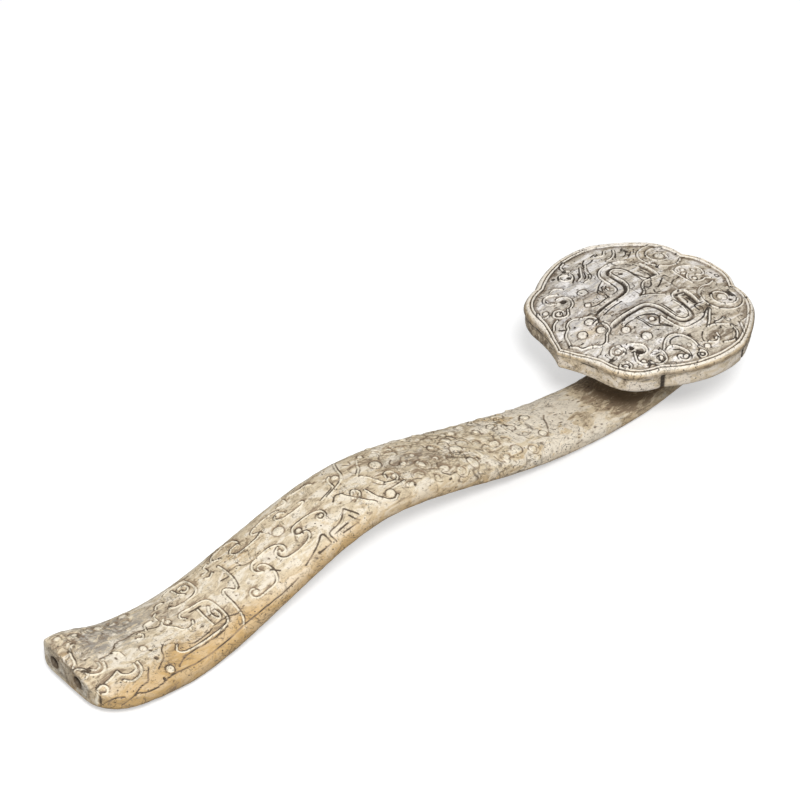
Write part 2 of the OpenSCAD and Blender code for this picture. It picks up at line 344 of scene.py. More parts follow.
class Relief:
    """Carving on a face whose points have places (u, v) in millimetres. It keeps the height of the raised
    lines, the depth of the cuts, the height of whole areas, how much dark soil lies in the cuts, with
    painted shadow on their side away from the lamp, and the painted brown shade on the lee side of what
    stands up."""

    REACH = 6.0
    LINE_WIDTH = 0.46
    SWELL_WIDTH = 2.2
    LIP_WIDTH = 2.0
    LEE_SHADE_WIDTH = 2.6
    RING_WIDTH = 0.4
    RING_DEPTH = 0.6
    LEE = np.array([0.59, 0.81])  # the way the lamp's light runs over the face

    def __init__(self, u, v):
        self.u, self.v = u, v
        self.raised, self.sunk, self.swell, self.level, self.soil, self.lee_shade = np.zeros((6, len(u)))

    def near(self, path, reach):
        """Which points lie near a line, their distance to its nearest stretch, and
        how far they lie from it on the side that is turned away from the lamp."""
        path = np.asarray(path, float)
        low, high = path.min(0) - reach, path.max(0) + reach
        inside = (self.u > low[0]) & (self.u < high[0]) & (self.v > low[1]) & (self.v < high[1])
        which = np.flatnonzero(inside)
        place = np.column_stack([self.u[which], self.v[which]])
        best, lee = np.full(len(which), 1e9), np.zeros(len(which))
        for a, b in zip(path[:-1], path[1:]):
            along = b - a
            t = np.clip((place - a) @ along / max(along @ along, 1e-9), 0, 1)
            off = place - a - t[:, None] * along
            d = np.linalg.norm(off, axis=1)
            lee = np.where(d < best, off @ self.LEE, lee)
            best = np.minimum(best, d)
        return which, best, lee

    def keep(self, which, raised=0.0, sunk=0.0, soil=0.0, swell=0.0):
        """Each value of these points becomes the new one where that is larger."""
        self.raised[which] = np.maximum(self.raised[which], raised)
        self.sunk[which] = np.maximum(self.sunk[which], sunk)
        self.soil[which] = np.maximum(self.soil[which], soil)
        self.swell[which] = np.maximum(self.swell[which], swell)

    def thread(self, points, gap=0.85, rise=0.6, depth=0.65, swell=0.3):
        """A raised line between two cuts, on ground that swells up to it. The cut on the side away from the
        lamp is deeper and darker with painted shadow."""
        which, d, lee = self.near(smooth_path(points), self.REACH)
        # Painted shadow: the cut and its dark soil grow deeper on the side away from the lamp.
        deeper = 0.62 + 0.38 * np.clip(lee / 0.6, -1, 1)
        groove = bell(d - gap, self.LINE_WIDTH) * deeper
        raised = rise * bell(d, self.LINE_WIDTH)
        self.keep(which, raised, depth * groove, groove, swell * bell(d, self.SWELL_WIDTH))
        # Painted shade: a soft brown band beside the line, on its side away from the lamp.
        painted_lee_shade = bell(d, self.LEE_SHADE_WIDTH) * np.clip(lee / 1.2, 0, 1)
        self.lee_shade[which] = np.maximum(self.lee_shade[which], painted_lee_shade)

    def cut(self, points, width=0.45, depth=0.5, soil=1.0, swell=0.12):
        """A single cut, bell-shaped across its path, with a soft lip."""
        which, d, _ = self.near(smooth_path(points), self.REACH)
        groove = bell(d, width)
        self.keep(which, 0.0, depth * groove, soil * groove, swell * bell(d, self.LIP_WIDTH))

    def boss(self, place, radius, rise=0.55, stretch=(1.0, 1.0), soil=1.0):
        """A round knob in a ring cut: an upright half of an oval, ringed at its radius."""
        which, _, _ = self.near([place, place], radius * max(stretch) + 3)
        d = np.hypot((self.u[which] - place[0]) / stretch[0], (self.v[which] - place[1]) / stretch[1])
        dome = np.clip(1 - (d / radius) ** 2, 0, 1) ** 0.35
        lee = np.column_stack([self.u[which] - place[0], self.v[which] - place[1]]) @ self.LEE / radius
        # Painted shadow: the ring cut is deeper and holds more dark soil on its side away from the lamp.
        ring = bell(d - radius - 0.2, self.RING_WIDTH) * (0.65 + 0.35 * np.clip(lee, -1, 1))
        self.keep(which, rise * dome, self.RING_DEPTH * ring, soil * ring)
        # Painted shade: a brown band round the knob, on its side away from the lamp.
        painted_lee_shade = bell(d - radius, 1.6) * np.clip(lee, 0, 1) * (d > radius)
        self.lee_shade[which] = np.maximum(self.lee_shade[which], painted_lee_shade)

    def pit(self, place, radius, depth=1.2, soil=1.0):
        """A drilled or weathered hollow with soft sides."""
        which, _, _ = self.near([place, place], radius * 2.2)
        d = np.hypot(self.u[which] - place[0], self.v[which] - place[1])
        hole = np.exp(-((d / radius) ** 4))
        self.keep(which, 0.0, depth * hole, soil * hole)

    def area(self, points, rise, ease=1.0):
        """A closed patch that stands up by rise, or lies deeper below 0, and
        slopes to the ground over the width ease inside its edge."""
        path = smooth_path([*points, points[0]])
        which, d, _ = self.near(path, 0.0)
        u, v = self.u[which], self.v[which]
        crossings = np.zeros(len(which), int)
        for (ua, va), (ub, vb) in zip(path[:-1], path[1:]):
            spans = (va > v) != (vb > v)
            crossings += spans & (u < ua + (v - va) * (ub - ua) / (vb - va if vb != va else 1.0))
        t = np.clip(d / ease, 0, 1) * (crossings % 2)
        self.level[which] += rise * t * t * (3 - 2 * t)

    def height(self):
        """How far each point stands above the uncarved face."""
        return self.raised - self.sunk + self.swell + self.level


def soften(grid, passes):
    """A grid averaged with its neighbours, as often as passes says. It doesn't wrap round."""
    for _ in range(passes):
        padded = np.pad(grid, 1, mode="edge")
        grid = (padded[:-2, 1:-1] + 2 * padded[1:-1, 1:-1] + padded[2:, 1:-1]) / 4
        padded = np.pad(grid, 1, mode="edge")
        grid = (padded[1:-1, :-2] + 2 * padded[1:-1, 1:-1] + padded[1:-1, 2:]) / 4
    return grid


# The grid of the shaft: stations along its length, close together where it is
# carved, and places round its section, close together on the upper side.
FINE_STEP = 0.54
PLAIN_STEP = 1.4
CARVED_TO_X = 96.0
CARVED_LEFT = 28.0
CARVED_RIGHT = 32.0
ease_turn = np.radians(np.linspace(0, 90, 5))
stations = np.concatenate([
    tail_x + EDGE_EASE * (1 - np.cos(ease_turn)),
    np.arange(tail_x + EDGE_EASE + 0.4, CARVED_TO_X, FINE_STEP),
    np.arange(CARVED_TO_X, curl_x - PLAIN_STEP / 2, PLAIN_STEP),
])
shrink = np.zeros(len(stations))
shrink[:len(ease_turn)] = EDGE_EASE * (1 - np.sin(ease_turn))

fine_turn = np.radians(np.linspace(-90, 270, 3601))


def oval(half_w, half_t, power):
    """Squared ovals as fine loops of points, with the length run round each of them."""
    across, through = (
        half * np.sign(wave) * np.abs(wave) ** (2 / power)
        for half, wave in ((half_w, np.cos(fine_turn)), (half_t, np.sin(fine_turn)))
    )
    run = np.hypot(np.diff(across), np.diff(through))
    return across, through, np.concatenate([[0], np.cumsum(run)])


COMMON_HALF = (26.0, 8.8)
length_round = oval(*COMMON_HALF, SECTION_POWER)[2][-1]
crest = length_round / 2
marks = np.concatenate([
    np.linspace(0, crest - CARVED_LEFT, 14)[:-1],
    np.arange(crest - CARVED_LEFT, crest + CARVED_RIGHT, FINE_STEP),
    np.linspace(crest + CARVED_RIGHT, length_round, 15)[:-1],
])
columns = len(marks)


def ring(centre_x, centre_z, tilt, middle_y, half_w, half_t, power):
    """Rings of points round the shaft, one for each station: a squared oval
    whose half sizes are half_w across and half_t through, turned by tilt. Its
    points lie at the same shares of its way round everywhere."""
    across, through = np.zeros((2, len(half_w), columns))
    for i in range(len(half_w)):
        loop = oval(half_w[i], half_t[i], power[i])
        share = marks / length_round * loop[2][-1]
        across[i] = middle_y[i] + np.interp(share, loop[2], loop[0])
        through[i] = np.interp(share, loop[2], loop[1])
    return np.stack([
        centre_x[:, None] - through * np.sin(tilt)[:, None], across,
        centre_z[:, None] + through * np.cos(tilt)[:, None],
    ], axis=2)


def near_end(x, run):
    """Runs evenly from 1 at the end face to 0 at the distance run from it."""
    return np.clip(1 - (x - tail_x) / run, 0, 1)


half_w = curve(HALF_W, stations) - shrink
far = half_w - corner_loss(stations, *FAR_CORNER) - corner_loss(stations, *FAR_TAPER)
near = half_w - corner_loss(stations, *CORNER)
half_t = curve(HALF_T, stations)
slope = curve(UNDERSIDE, stations + 0.5) - curve(UNDERSIDE, stations - 0.5)
tilt = np.arctan(slope) * np.clip((stations - tail_x) / 24, 0, 1)
low = curve(UNDERSIDE, stations)
power = SECTION_POWER + (END_POWER - SECTION_POWER) * near_end(stations, END_POWER_LEN)
body = ring(stations, low + half_t, tilt, (far - near) / 2, (far + near) / 2, half_t - shrink, power)
grow = 1 + WEDGE * near_end(stations, WEDGE_LEN)[:, None] * (body[:, :, 1] - WEDGE_MIDDLE)
body[:, :, 2] = low[:, None] + (body[:, :, 2] - low[:, None]) * grow

curl_turn = np.radians(np.linspace(math.degrees(math.atan(CURL_SLOPE)), CURL_END, 34))
curl_z = curve(UNDERSIDE, np.array([curl_x]))[0] + NECK_HALF_T
curl_place = np.column_stack([
    curl_x + CURL_R * (np.sin(curl_turn) - np.sin(curl_turn[0])),
    curl_z + CURL_R * (np.cos(curl_turn[0]) - np.cos(curl_turn)),
])
even = np.ones(len(curl_turn))
curled = ring(
    curl_place[:, 0], curl_place[:, 1], curl_turn, 0 * even, NECK_HALF_W * even, NECK_HALF_T * even,
    SECTION_POWER * even,
)
rise = np.linspace(0, 1, 14)[1:]
flare = rise**1.8
neck = ring(
    curl_place[-1, 0] - PAD_SHIFT * rise, curl_place[-1, 1] + (PAD_TOP - curl_place[-1, 1]) * rise,
    np.radians(CURL_END + (90 - CURL_END) * rise), 0 * rise,
    NECK_HALF_W + (PAD_HALF[1] - NECK_HALF_W) * flare, NECK_HALF_T + (PAD_HALF[0] - NECK_HALF_T) * flare,
    SECTION_POWER - (SECTION_POWER - 2) * rise,
)
skin_grid = np.concatenate([body, curled, neck])
rows = len(skin_grid)

# Where each point lies on the carved face: along from a datum near the middle
# of the length, and across from the middle line, along the surface. The curl
# counts as lying past all carving.
DATUM_X = -4.5
steps_across = np.linalg.norm(np.diff(skin_grid, axis=1), axis=2)
round_length = np.concatenate([np.zeros((rows, 1)), np.cumsum(steps_across, axis=1)], axis=1)
crest_column = int(np.argmin(np.abs(marks - crest)))
middle_y = np.zeros(rows)
middle_y[: len(stations)] = (far - near) / 2
across = round_length[:, [crest_column]] - round_length + middle_y[:, None]
row_x = np.concatenate([stations, np.full(rows - len(stations), curl_x + 40)])
along = np.repeat(row_x[:, None], columns, axis=1)
face = Relief((along - DATUM_X).ravel(), across.ravel())

# Raised lines of the tail's scrolls and of the two squared spirals
SHAFT_THREADS = [
    [(-226, 3.6), (-223, 5.9), (-221.8, 10.5), (-219.9, 14.5), (-216.5, 16.7)],
    [(-223, -1.7), (-221, -5.4), (-216.9, -7.6), (-213.2, -6), (-211.8, -2.4)],
    [(-219.8, -2.2), (-217.6, -4.6), (-214.7, -3.7), (-214.1, -1)],
    [(-226, 2.5), (-223.6, 1.4), (-221.8, -1.2), (-222.4, -3.4)],
    [(-224.9, -22.4), (-225, -18.9), (-223.5, -14.7), (-220.5, -14.3), (-219.3, -16.9), (-221, -19.1),
     (-223, -17.9)],
    [(-219.1, -14.4), (-214.3, -13.4), (-210.1, -11.6)],
    [(-210.2, -11.6), (-209.5, -14.9), (-205.8, -16.9), (-201.7, -15.6), (-200.7, -12.1)],
    [(-210.7, -18.3), (-207.5, -21.2), (-202.3, -20), (-198.9, -16.4), (-198.3, -11.9)],
    [(-204.4, 0.3), (-202.1, -1.1), (-201.8, -4.5)],
    [(-165.3, 6.3), (-168.1, 4.6), (-168.4, 1.6), (-166.4, -0.8), (-164.5, -3.3), (-162.7, -6.6),
     (-159, -8.5), (-155.8, -7.4), (-154.4, -5.4)],
    [(-156.4, -2), (-158, 0.2), (-157.2, 2.4), (-154.6, 3.2), (-148, 2.2), (-143, 1.3), (-140.2, -0.4),
     (-139.2, -4), (-139.2, -13), (-140.2, -17.6), (-143, -19.8), (-150, -20.3), (-167.9, -20),
     (-173, -19), (-174.8, -16.5), (-172.4, -13.5)],
    [(-147.6, -1.5), (-148.3, -8), (-148.3, -15.6)],
    [(-142.4, -4), (-144.4, -7.5), (-144.6, -12), (-143, -14.6), (-141.6, -12.6), (-141.7, -8.5)],
    [(-157.6, 10.6), (-154.6, 8.6), (-148, 7.8), (-142.4, 7.9), (-139.2, 10), (-138.4, 14),
     (-138.8, 19), (-141.6, 22), (-148, 22.6), (-153, 21.6)],
    [(-148.2, 20.6), (-147.8, 15.4), (-145.6, 12.4)],
    curl((-143.6, 15.6), 3.4, 1.4, 120, -200),
    [(-136.4, -25.8), (-133.8, -22), (-132.4, -14), (-131.7, -5), (-130, -2.3), (-127.9, -4),
     (-126, -7.4), (-123.6, -5.4), (-122, 0), (-121.5, 7), (-121.8, 12.4)],
    [(-131, 15), (-127.7, 15.2), (-127.2, 18.8), (-124.6, 19.8)],
    [(-131.4, 12), (-129.4, 10.3), (-126.6, 11.8)],
    [(-168.5, 7.9), (-168.2, 11.3), (-165.8, 12.8)],
    [(-163.4, 15.6), (-161.2, 17.6), (-157.6, 17)],
    [(-178.6, 5.7), (-176.4, 9.3), (-171.4, 9.6)],
    [(-187.8, 2), (-184.4, 1.5), (-182.5, 3.8), (-184.4, 5.2)],
]
# Scrolls of the rising part: running S-shapes in slightly lower raised lines
SHAFT_SCROLLS = [
    [(-118.6, -16.6), (-119.6, -13.8), (-122, -14.4), (-122.8, -17.4), (-120.6, -20), (-116, -20.3),
     (-109.4, -20.2), (-106.2, -17), (-105.2, -11.4), (-106.2, -7), (-108.6, -5.3), (-110.2, -7.2),
     (-109.2, -9.6)],
    [(-109.6, -10), (-112, -7.4), (-112, -4.2), (-109.4, -1.4), (-104, -0.8), (-98, -1.2), (-94.4, -3),
     (-92.6, -6), (-93.6, -9.2), (-95.8, -8.6), (-95.4, -6.6)],
    [(-95, -4.6), (-97.8, -6.2), (-98.4, -9.6), (-96.8, -12.8), (-93, -14.2), (-87, -14.6),
     (-81.6, -13.6), (-78.9, -11), (-79.2, -8.4), (-81.6, -8)],
    [(-81.6, -8.2), (-84, -6.8), (-84, -3.6), (-81.6, -1.2), (-76, -1), (-69.6, -1.9), (-66, -4.2),
     (-66, -8), (-69, -9.2), (-70.2, -6.8), (-68.6, -5)],
    [(-118, 16), (-121.6, 18.2), (-120.2, 21.2), (-114, 22), (-108, 21.2), (-105.6, 18),
     (-106.2, 14.6)],
    [(-106.4, 15.4), (-110.4, 15.6), (-112.6, 13.4), (-110.8, 10.4), (-105.6, 9.3), (-98.6, 9.3),
     (-94.2, 10.6)],
    [(-94.6, 11.6), (-97.8, 13.4), (-96.4, 15.8), (-91, 16.8), (-84, 16.6), (-79.6, 15.2)],
    [(-78.6, 10.6), (-80.4, 13), (-83.2, 12.6), (-84.2, 10.4), (-82, 8.2), (-77.6, 7.3), (-70.6, 6.9),
     (-67.6, 8.6), (-69.6, 9.8)],
    [(-78.4, 17), (-74, 16), (-72.8, 18.6), (-73, 21.6)],
    [(-70, 19.4), (-64.6, 17.8), (-59.4, 17.2), (-57, 15.6)],
    [(-61, 1.2), (-56, 2.4), (-51.4, 4.2), (-50.4, 8.4), (-49.2, 11.6), (-47.4, 12.6)],
    [(-57, 0.8), (-51, 2.6), (-45.8, 5), (-42.6, 8.8), (-41.2, 14), (-39.6, 18), (-38, 21)],
    [(-36.6, 3), (-33, 6.4), (-30.8, 10.4), (-28.2, 14)],
    [(-26.4, -8), (-25, -5), (-22.4, -4.2), (-20, -6.8), (-20.4, -10.6), (-24, -12.6), (-29.4, -11.4)],
    [(-36, 1), (-33, -3.4), (-31, -8), (-29.4, -10.4)],
    [(-38, -17.6), (-35.6, -21), (-31.6, -22.6), (-28.6, -21)],
    [(-29.4, -16.4), (-24.4, -15.8), (-19.6, -14.8)],
    [(-48.4, -7.6), (-46, -5), (-44, -8), (-46.4, -11.4), (-49.4, -13)],
    [(-52, -3), (-50, -7.6), (-46, -14), (-41.6, -19)],
    [(-41, -9), (-39.8, -15), (-38, -18.6)],
]
# Long feather and key figures of the near side, then the small scale-like
# curls that cover the crown of the arch
SHAFT_CUTS = [
    [(-92, -23.6), (-86, -21.6), (-80, -19), (-75.6, -16.2), (-74.2, -17.6), (-74.3, -23)],
    [(-71.9, -24.4), (-71.7, -18.4), (-66, -17.4), (-61.6, -15.8), (-58.8, -13.2), (-57, -11.4)],
    [(-57, -11.4), (-55.4, -15), (-53.4, -19.2)], [(-82.8, -23.4), (-75, -23.5)],
    [(-70, -20.6), (-61, -20.1)], [(-66, -23), (-56, -23.2)],
    [(-57.6, -17), (-56.6, -20), (-54.8, -22.6)], [(-103, -16.2), (-106, -12)],
    [(-86, -8.6), (-83.6, -4.4)], [(-127, 4), (-122.4, 2.6)], [(-152, 0.6), (-145, -0.6)],
    [(-146, -9), (-143.4, -9.8)], [(-13, 4), (-16, 1.4), (-14.4, -2), (-11, -1.6)],
    [(-15.4, 18), (-13.2, 14), (-14, 10.6), (-11, 8.4)], [(-8.6, 16), (-5.4, 13), (-6.2, 10)],
    [(-7, 3), (-10, -0.4), (-9, -4.4), (-6, -5)], [(1, -3.6), (-3, -4.4), (-4.6, -8), (-1.6, -11)],
    [(8.6, -3), (6, -5.6), (8.4, -8.4), (6, -12)], [(4, 8), (7.6, 10.6), (11.6, 9.4), (12, 6)],
    [(13, 5.4), (12, 1.4), (15.6, -0.6), (19, 2)], [(20.4, 4.6), (23.6, 7), (27, 4.6), (26, 1)],
    [(24, -1), (22.6, -5), (26, -7.6), (29.4, -5)], [(18, -6), (15, -9.4), (18, -12.6), (21.6, -11)],
    [(29, 9), (33, 11), (36, 8.6), (35, 5)], [(40, -3), (41, 1.6), (39.6, 5.4)],
    [(49.6, 8.8), (52.4, 10), (54.6, 7.8), (53, 4.4)], [(43, -7), (46.6, -4.8), (49, -7.4)],
    [(44, -12), (50, -12.4), (56, -11)], [(44.4, -16), (45.6, -20), (49, -22)], [(55, -5), (58.4, 0.4)],
    [(-19, -18), (-14, -16), (-9.4, -17.6)], [(-4, -12), (2, -13.6), (7, -16)],
    [(5, -18), (8.6, -20.4), (14, -19.6)], [(-18, 8), (-15, 12), (-17, 16)],
    [(9, 15), (13, 12.4), (17, 13.6)], [(21, 13), (25.4, 11.4), (29.6, 13.4)],
    [(60, 8), (64, 11), (68, 9.4)], [(72, -4), (76, -7.6), (81, -7)], [(84, 6), (87.6, 9.2), (91, 6.8)],
    [(90.6, -11.6), (95, -5.4), (98, 0.2), (101, 3.4)], [(70, 12), (73, 15), (77, 14)],
    [(-36, 16), (-33, 13.4), (-31.4, 17)], [(-57.6, -4), (-54, -1.2), (-50, -3)],
]
# Natural seams that run along the edge of the skin
SHAFT_SEAMS = [
    [(-226, -31.2), (-224.8, -24.7), (-219.8, -23.7), (-214.9, -26.4)],
    [(-216.5, -30.5), (-209.1, -28.3), (-205, -29.8), (-196.8, -30.3), (-184.9, -27.8), (-175.2, -27.9),
     (-160, -27.9), (-140, -26.4), (-128, -26), (-110, -26.6), (-99, -26)],
    [(-211, -28.5), (-205.3, -25.9), (-201, -25.2), (-198.6, -21.8), (-195.3, -17.7)],
    [(-191.7, -21.8), (-188.1, -19.3), (-184.1, -16.4), (-181.5, -11.3), (-178.2, -8.5)],
    [(-180.6, -25.3), (-174.1, -22), (-167, -21.3), (-150, -21.8), (-143, -21)],
    [(-212.2, 0.4), (-206.4, 0.7), (-201.8, 3.5), (-198.7, 5.8), (-190, 6.6), (-184.4, 7.7),
     (-176.3, 6), (-171.6, 4.3), (-167, 5.6)],
    [(-166, -16), (-162.6, -17.4), (-154, -17.4), (-147.4, -15.9), (-140, -16.4), (-134, -18.9),
     (-129, -17.6)],
    [(-120, 5.6), (-115, 4.6), (-113, 2), (-107, -0.4)],
]
SHAFT_BOSSES = [
    ((-189.4, -5.5), 2.0), ((-186.3, -24.8), 2.5), ((-88, 3.6), 3.0), ((-23.2, 4.6), 3.3),
    ((-31.4, -18.6), 2.8), ((-46, 9.6), 1.9), ((62, -15.6), 3.3), ((-10, -2.4), 1.8),
    ((-164.8, 3), 1.7), ((-81.2, -5), 1.5), ((-119.9, -16.6), 1.5), ((-67.8, -6.6), 1.4),
    ((89, 7), 2.6), ((87, -10.6), 2.4), ((14.6, 3.6), 1.9), ((52, 7.6), 1.6), ((-24.4, 16), 1.6),
]
for path in SHAFT_THREADS:
    face.thread(path)
for path in SHAFT_SCROLLS:
    face.thread(path, gap=0.8, rise=0.5, depth=0.6)
for path in SHAFT_CUTS:
    face.cut(path, width=0.5, depth=0.5, soil=1.0 if path[0][0] < -40 else 0.5)
for path in SHAFT_SEAMS:
    face.cut(path, width=0.32, depth=0.7, soil=0.8, swell=0.0)
for place, radius in SHAFT_BOSSES:
    face.boss(place, radius)
face.boss((28.4, -16.2), 3.0, stretch=(1.0, 1.4))
face.boss((-2.4, -7.6), 2.0, stretch=(1.2, 1.7))
for place, radius in [
    ((-187.9, -15), 1.3), ((-186.9, -8.5), 0.9), ((-182, 4.6), 0.6), ((-156.3, 12), 0.9),
    ((-164.4, 1.2), 0.8), ((-219.8, -2.8), 0.7), ((-192.2, -28.1), 0.8), ((-216.9, 17.3), 0.8),
    ((-209.1, 18.8), 0.7), ((-73, 20.6), 0.8), ((-190.1, 24.2), 1.2), ((-183, 24), 0.9),
    ((8.8, -6.6), 0.6), ((-13.6, 15), 1.0), ((-5, 14.6), 0.8), ((33.6, 10.8), 0.7), ((49.6, 8), 0.7),
    ((54, 4.6), 0.7), ((126.8, 1.6), 0.5),
]:
    face.pit(place, radius)

# Small discs with a comma at their side: over the crown of the arch, and low
# knobs along the far edge of the tail
chance = np.random.default_rng(12)
taken = np.array([place for place, _ in SHAFT_BOSSES])
for u_range, v_range, spread, sizes, tries in [
    ((-34, 92), (-20, 22), 8.8, (1.1, 2.9), 500), ((-224, -176), (17, 26), 6.5, (1.3, 2.2), 200),
]:
    for _ in range(tries):
        place = np.array([chance.uniform(*u_range), chance.uniform(*v_range)])
        radius, start, sweep = chance.uniform(*sizes), chance.uniform(0, 360), chance.uniform(90, 200)
        if np.linalg.norm(taken - place, axis=1).min() < spread:
            continue
        taken = np.vstack([taken, place])
        disc_rise, wider = chance.uniform(0.1, 0.5), chance.uniform(1.0, 1.5)
        face.boss(place, radius, rise=disc_rise, stretch=(wider, 1.0), soil=0.45)
        comma = curl(place, radius + 1.2, radius + 2.4, start, start + sweep)
        face.cut(comma, width=0.33, depth=0.45, soil=0.5)


def patch(strength, along, across, sway=0.0):
    """A soft oval patch: its strength less the distance from its middle, which
    is given along and across in shares of its half sizes, between 0 and 1."""
    return np.clip(strength - np.hypot(along, across) + sway, 0, 1)


def cracks(values, width):
    """Thin lines where the values cross 0: 1 on them, and 0 from width on."""
    return np.clip(1 - np.abs(values) / width, 0, 1)


# Weathering: each point moves along its normal by the carving, the crust with
# its crevices, the marks of the tools, the pits and the uneven wear
flat_points = skin_grid.reshape(-1, 3)
x, side = flat_points[:, 0], across.ravel()
step_along = np.gradient(skin_grid, axis=0)
step_round = np.roll(skin_grid, -1, axis=1) - np.roll(skin_grid, 1, axis=1)
outward = np.cross(step_round, step_along).reshape(-1, 3)
outward /= np.linalg.norm(outward, axis=1, keepdims=True) + 1e-12
upper = np.clip((outward[:, 2] + 0.35) / 0.5, 0, 1)
weather = layered_noise(flat_points, (0.22, 17, 1), (0.12, 6, 2))
tooling = layered_noise(flat_points, (0.07, 1.9, 3), (0.05, 1.1, 4))
pitting = np.clip(lattice_noise(flat_points, 1.5, 5) - 0.62, 0, 1)
pitting *= np.clip(0.5 + lattice_noise(flat_points, 21, 6), 0, 1)
crusted = np.clip(1.25 - np.abs((x - 45) / 88), 0, 1)
crusted = np.maximum(crusted, patch(1.3, (x + 205) / 36, (side - 20) / 13))
scales = lattice_noise(flat_points, 4.3, 41)
small_scales = lattice_noise(flat_points, 2.5, 42)
crevices = np.maximum(cracks(scales, 0.17), 0.8 * cracks(small_scales, 0.2))
broken = np.clip(0.55 + lattice_noise(flat_points, 8, 43), 0, 1)
crust = crusted * (0.35 * scales + 0.15 * small_scales - 0.35 * crevices * broken)
height = upper * (face.height() + crust) + tooling - 1.3 * pitting
shaft_relief = height - soften(height.reshape(rows, columns), 22).ravel()
height = height + weather
EDGE_ROWS = 4
PAD_ROWS = 3
height.reshape(rows, columns)[-PAD_ROWS:] = 0
height.reshape(rows, columns)[:EDGE_ROWS] *= np.linspace(0, 0.6, EDGE_ROWS)[:, None]
shaft_points = flat_points + outward * height[:, None]
shaft_points[:, 2] = np.maximum(shaft_points[:, 2], 0)
shaft_points[:, 2] = np.minimum(shaft_points[:, 2], np.where(flat_points[:, 2] > PAD_TOP - 1, PAD_TOP, 1e9))


def strip_faces(rows, columns, first=0):
    """Quads between neighbouring rings of a closed tube, numbered from first."""
    i, k = np.meshgrid(np.arange(rows - 1), np.arange(columns), indexing="ij")
    following = (k + 1) % columns
    quads = np.stack([
        i * columns + k, i * columns + following, (i + 1) * columns + following, (i + 1) * columns + k,
    ], axis=-1)
    return quads.reshape(-1, 4) + first


def make_piece(name, points, faces, paint, body, **values):
    """A mesh in millimetres made an object in metres, with its per-point values,
    paint and body, and with its faces turned outwards."""
    mesh = bpy.data.meshes.new(name)
    mesh.from_pydata((np.asarray(points) * MM).tolist(), [], faces)
    for label, numbers in values.items():
        layer = mesh.attributes.new(label, "FLOAT", "POINT")
        layer.data.foreach_set("value", np.asarray(numbers, np.float32))
    mesh.polygons.foreach_set("use_smooth", np.ones(len(mesh.polygons), bool))
    mesh.materials.append(paint)
    piece = bpy.data.objects.new(name, mesh)
    bpy.context.collection.objects.link(piece)
    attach(piece, body)
    turner = bmesh.new()
    turner.from_mesh(mesh)
    bmesh.ops.recalc_face_normals(turner, faces=turner.faces)
    turner.to_mesh(mesh)
    turner.free()
    return piece


# Cord holes: two straight holes drilled into the end face for a cord, with
# mouths that it has worn round. They are part of the bar's own mesh.
HOLE_R = 3.4
HOLE_DEPTH = 18.0
HOLE_PLACES = [(20.0, 14.9), (0.0, 14.9)]
HOLE_SIDES = 48
# Painted shade: the cord holes are darkened from their mouths to their bottoms, where shade falls.
HOLE_SHADE = [0.3, 0.4, 0.7, 1, 1, 1, 1]
hole_profile = np.array([
    (0, HOLE_R + 0.3), (0.12, HOLE_R + 0.15), (0.45, HOLE_R), (6, HOLE_R), (12, HOLE_R),
    (HOLE_DEPTH - 0.8, HOLE_R), (HOLE_DEPTH, HOLE_R * 0.5),
])
hole_turn = np.linspace(0, 2 * np.pi, HOLE_SIDES, endpoint=False)
hole_points = []
for y, z in HOLE_PLACES:
    depth, radius = hole_profile.T
    hole_points.append(np.stack([
        np.repeat((tail_x + depth)[:, None], HOLE_SIDES, axis=1),
        y + radius[:, None] * np.cos(hole_turn), z + radius[:, None] * np.sin(hole_turn),
    ], axis=2).reshape(-1, 3))
hole_rows = len(hole_profile)
first_hole = len(shaft_points)
second_hole = first_hole + hole_rows * HOLE_SIDES
extra = second_hole + hole_rows * HOLE_SIDES
hole_bottoms = [(tail_x + HOLE_DEPTH, y, z) for y, z in HOLE_PLACES]
pad_middle = shaft_points[-columns:].mean(axis=0)

# The end face between its edge and the holes: a net of fine triangles over
# scattered points, rough like a sawn and worn face
NET_STEP = 0.8
face_y, face_z = np.meshgrid(np.arange(-33, 33, NET_STEP), np.arange(2, 28, NET_STEP))
face_y, face_z = face_y.ravel(), face_z.ravel()
middle, half = (far[0] - near[0]) / 2, (far[0] + near[0]) / 2
unwedged = (face_z - low[0]) / (1 + WEDGE * (face_y - WEDGE_MIDDLE)) - half_t[0]
bulge = (np.abs((face_y - middle) / (half - 0.8)) ** END_POWER
         + np.abs(unwedged / (half_t[0] - EDGE_EASE - 0.7)) ** END_POWER)
clear = np.min([np.hypot(face_y - y, face_z - z) for y, z in HOLE_PLACES], axis=0) > HOLE_R + 0.9
kept = (bulge < 1) & clear
scattered = np.column_stack([np.full(kept.sum(), tail_x), face_y[kept], face_z[kept]])
scattered[:, 0] += 0.22 + 0.2 * lattice_noise(scattered, 2.3, 21)
all_points = np.vstack([shaft_points, *hole_points, hole_bottoms, [pad_middle], scattered])
end_loops = [np.arange(columns)] + [first + np.arange(HOLE_SIDES) for first in (first_hole, second_hole)]
end_index = np.concatenate([*end_loops, len(all_points) - len(scattered) + np.arange(len(scattered))])
end_edges, start = [], 0
for loop in end_loops:
    end_edges += [(start + k, start + (k + 1) % len(loop)) for k in range(len(loop))]
    start += len(loop)
net_points, _, net_faces, origin, _, _ = delaunay_2d_cdt(
    [Vector(all_points[i, 1:]) for i in end_index], end_edges, [], 1, 1e-5)

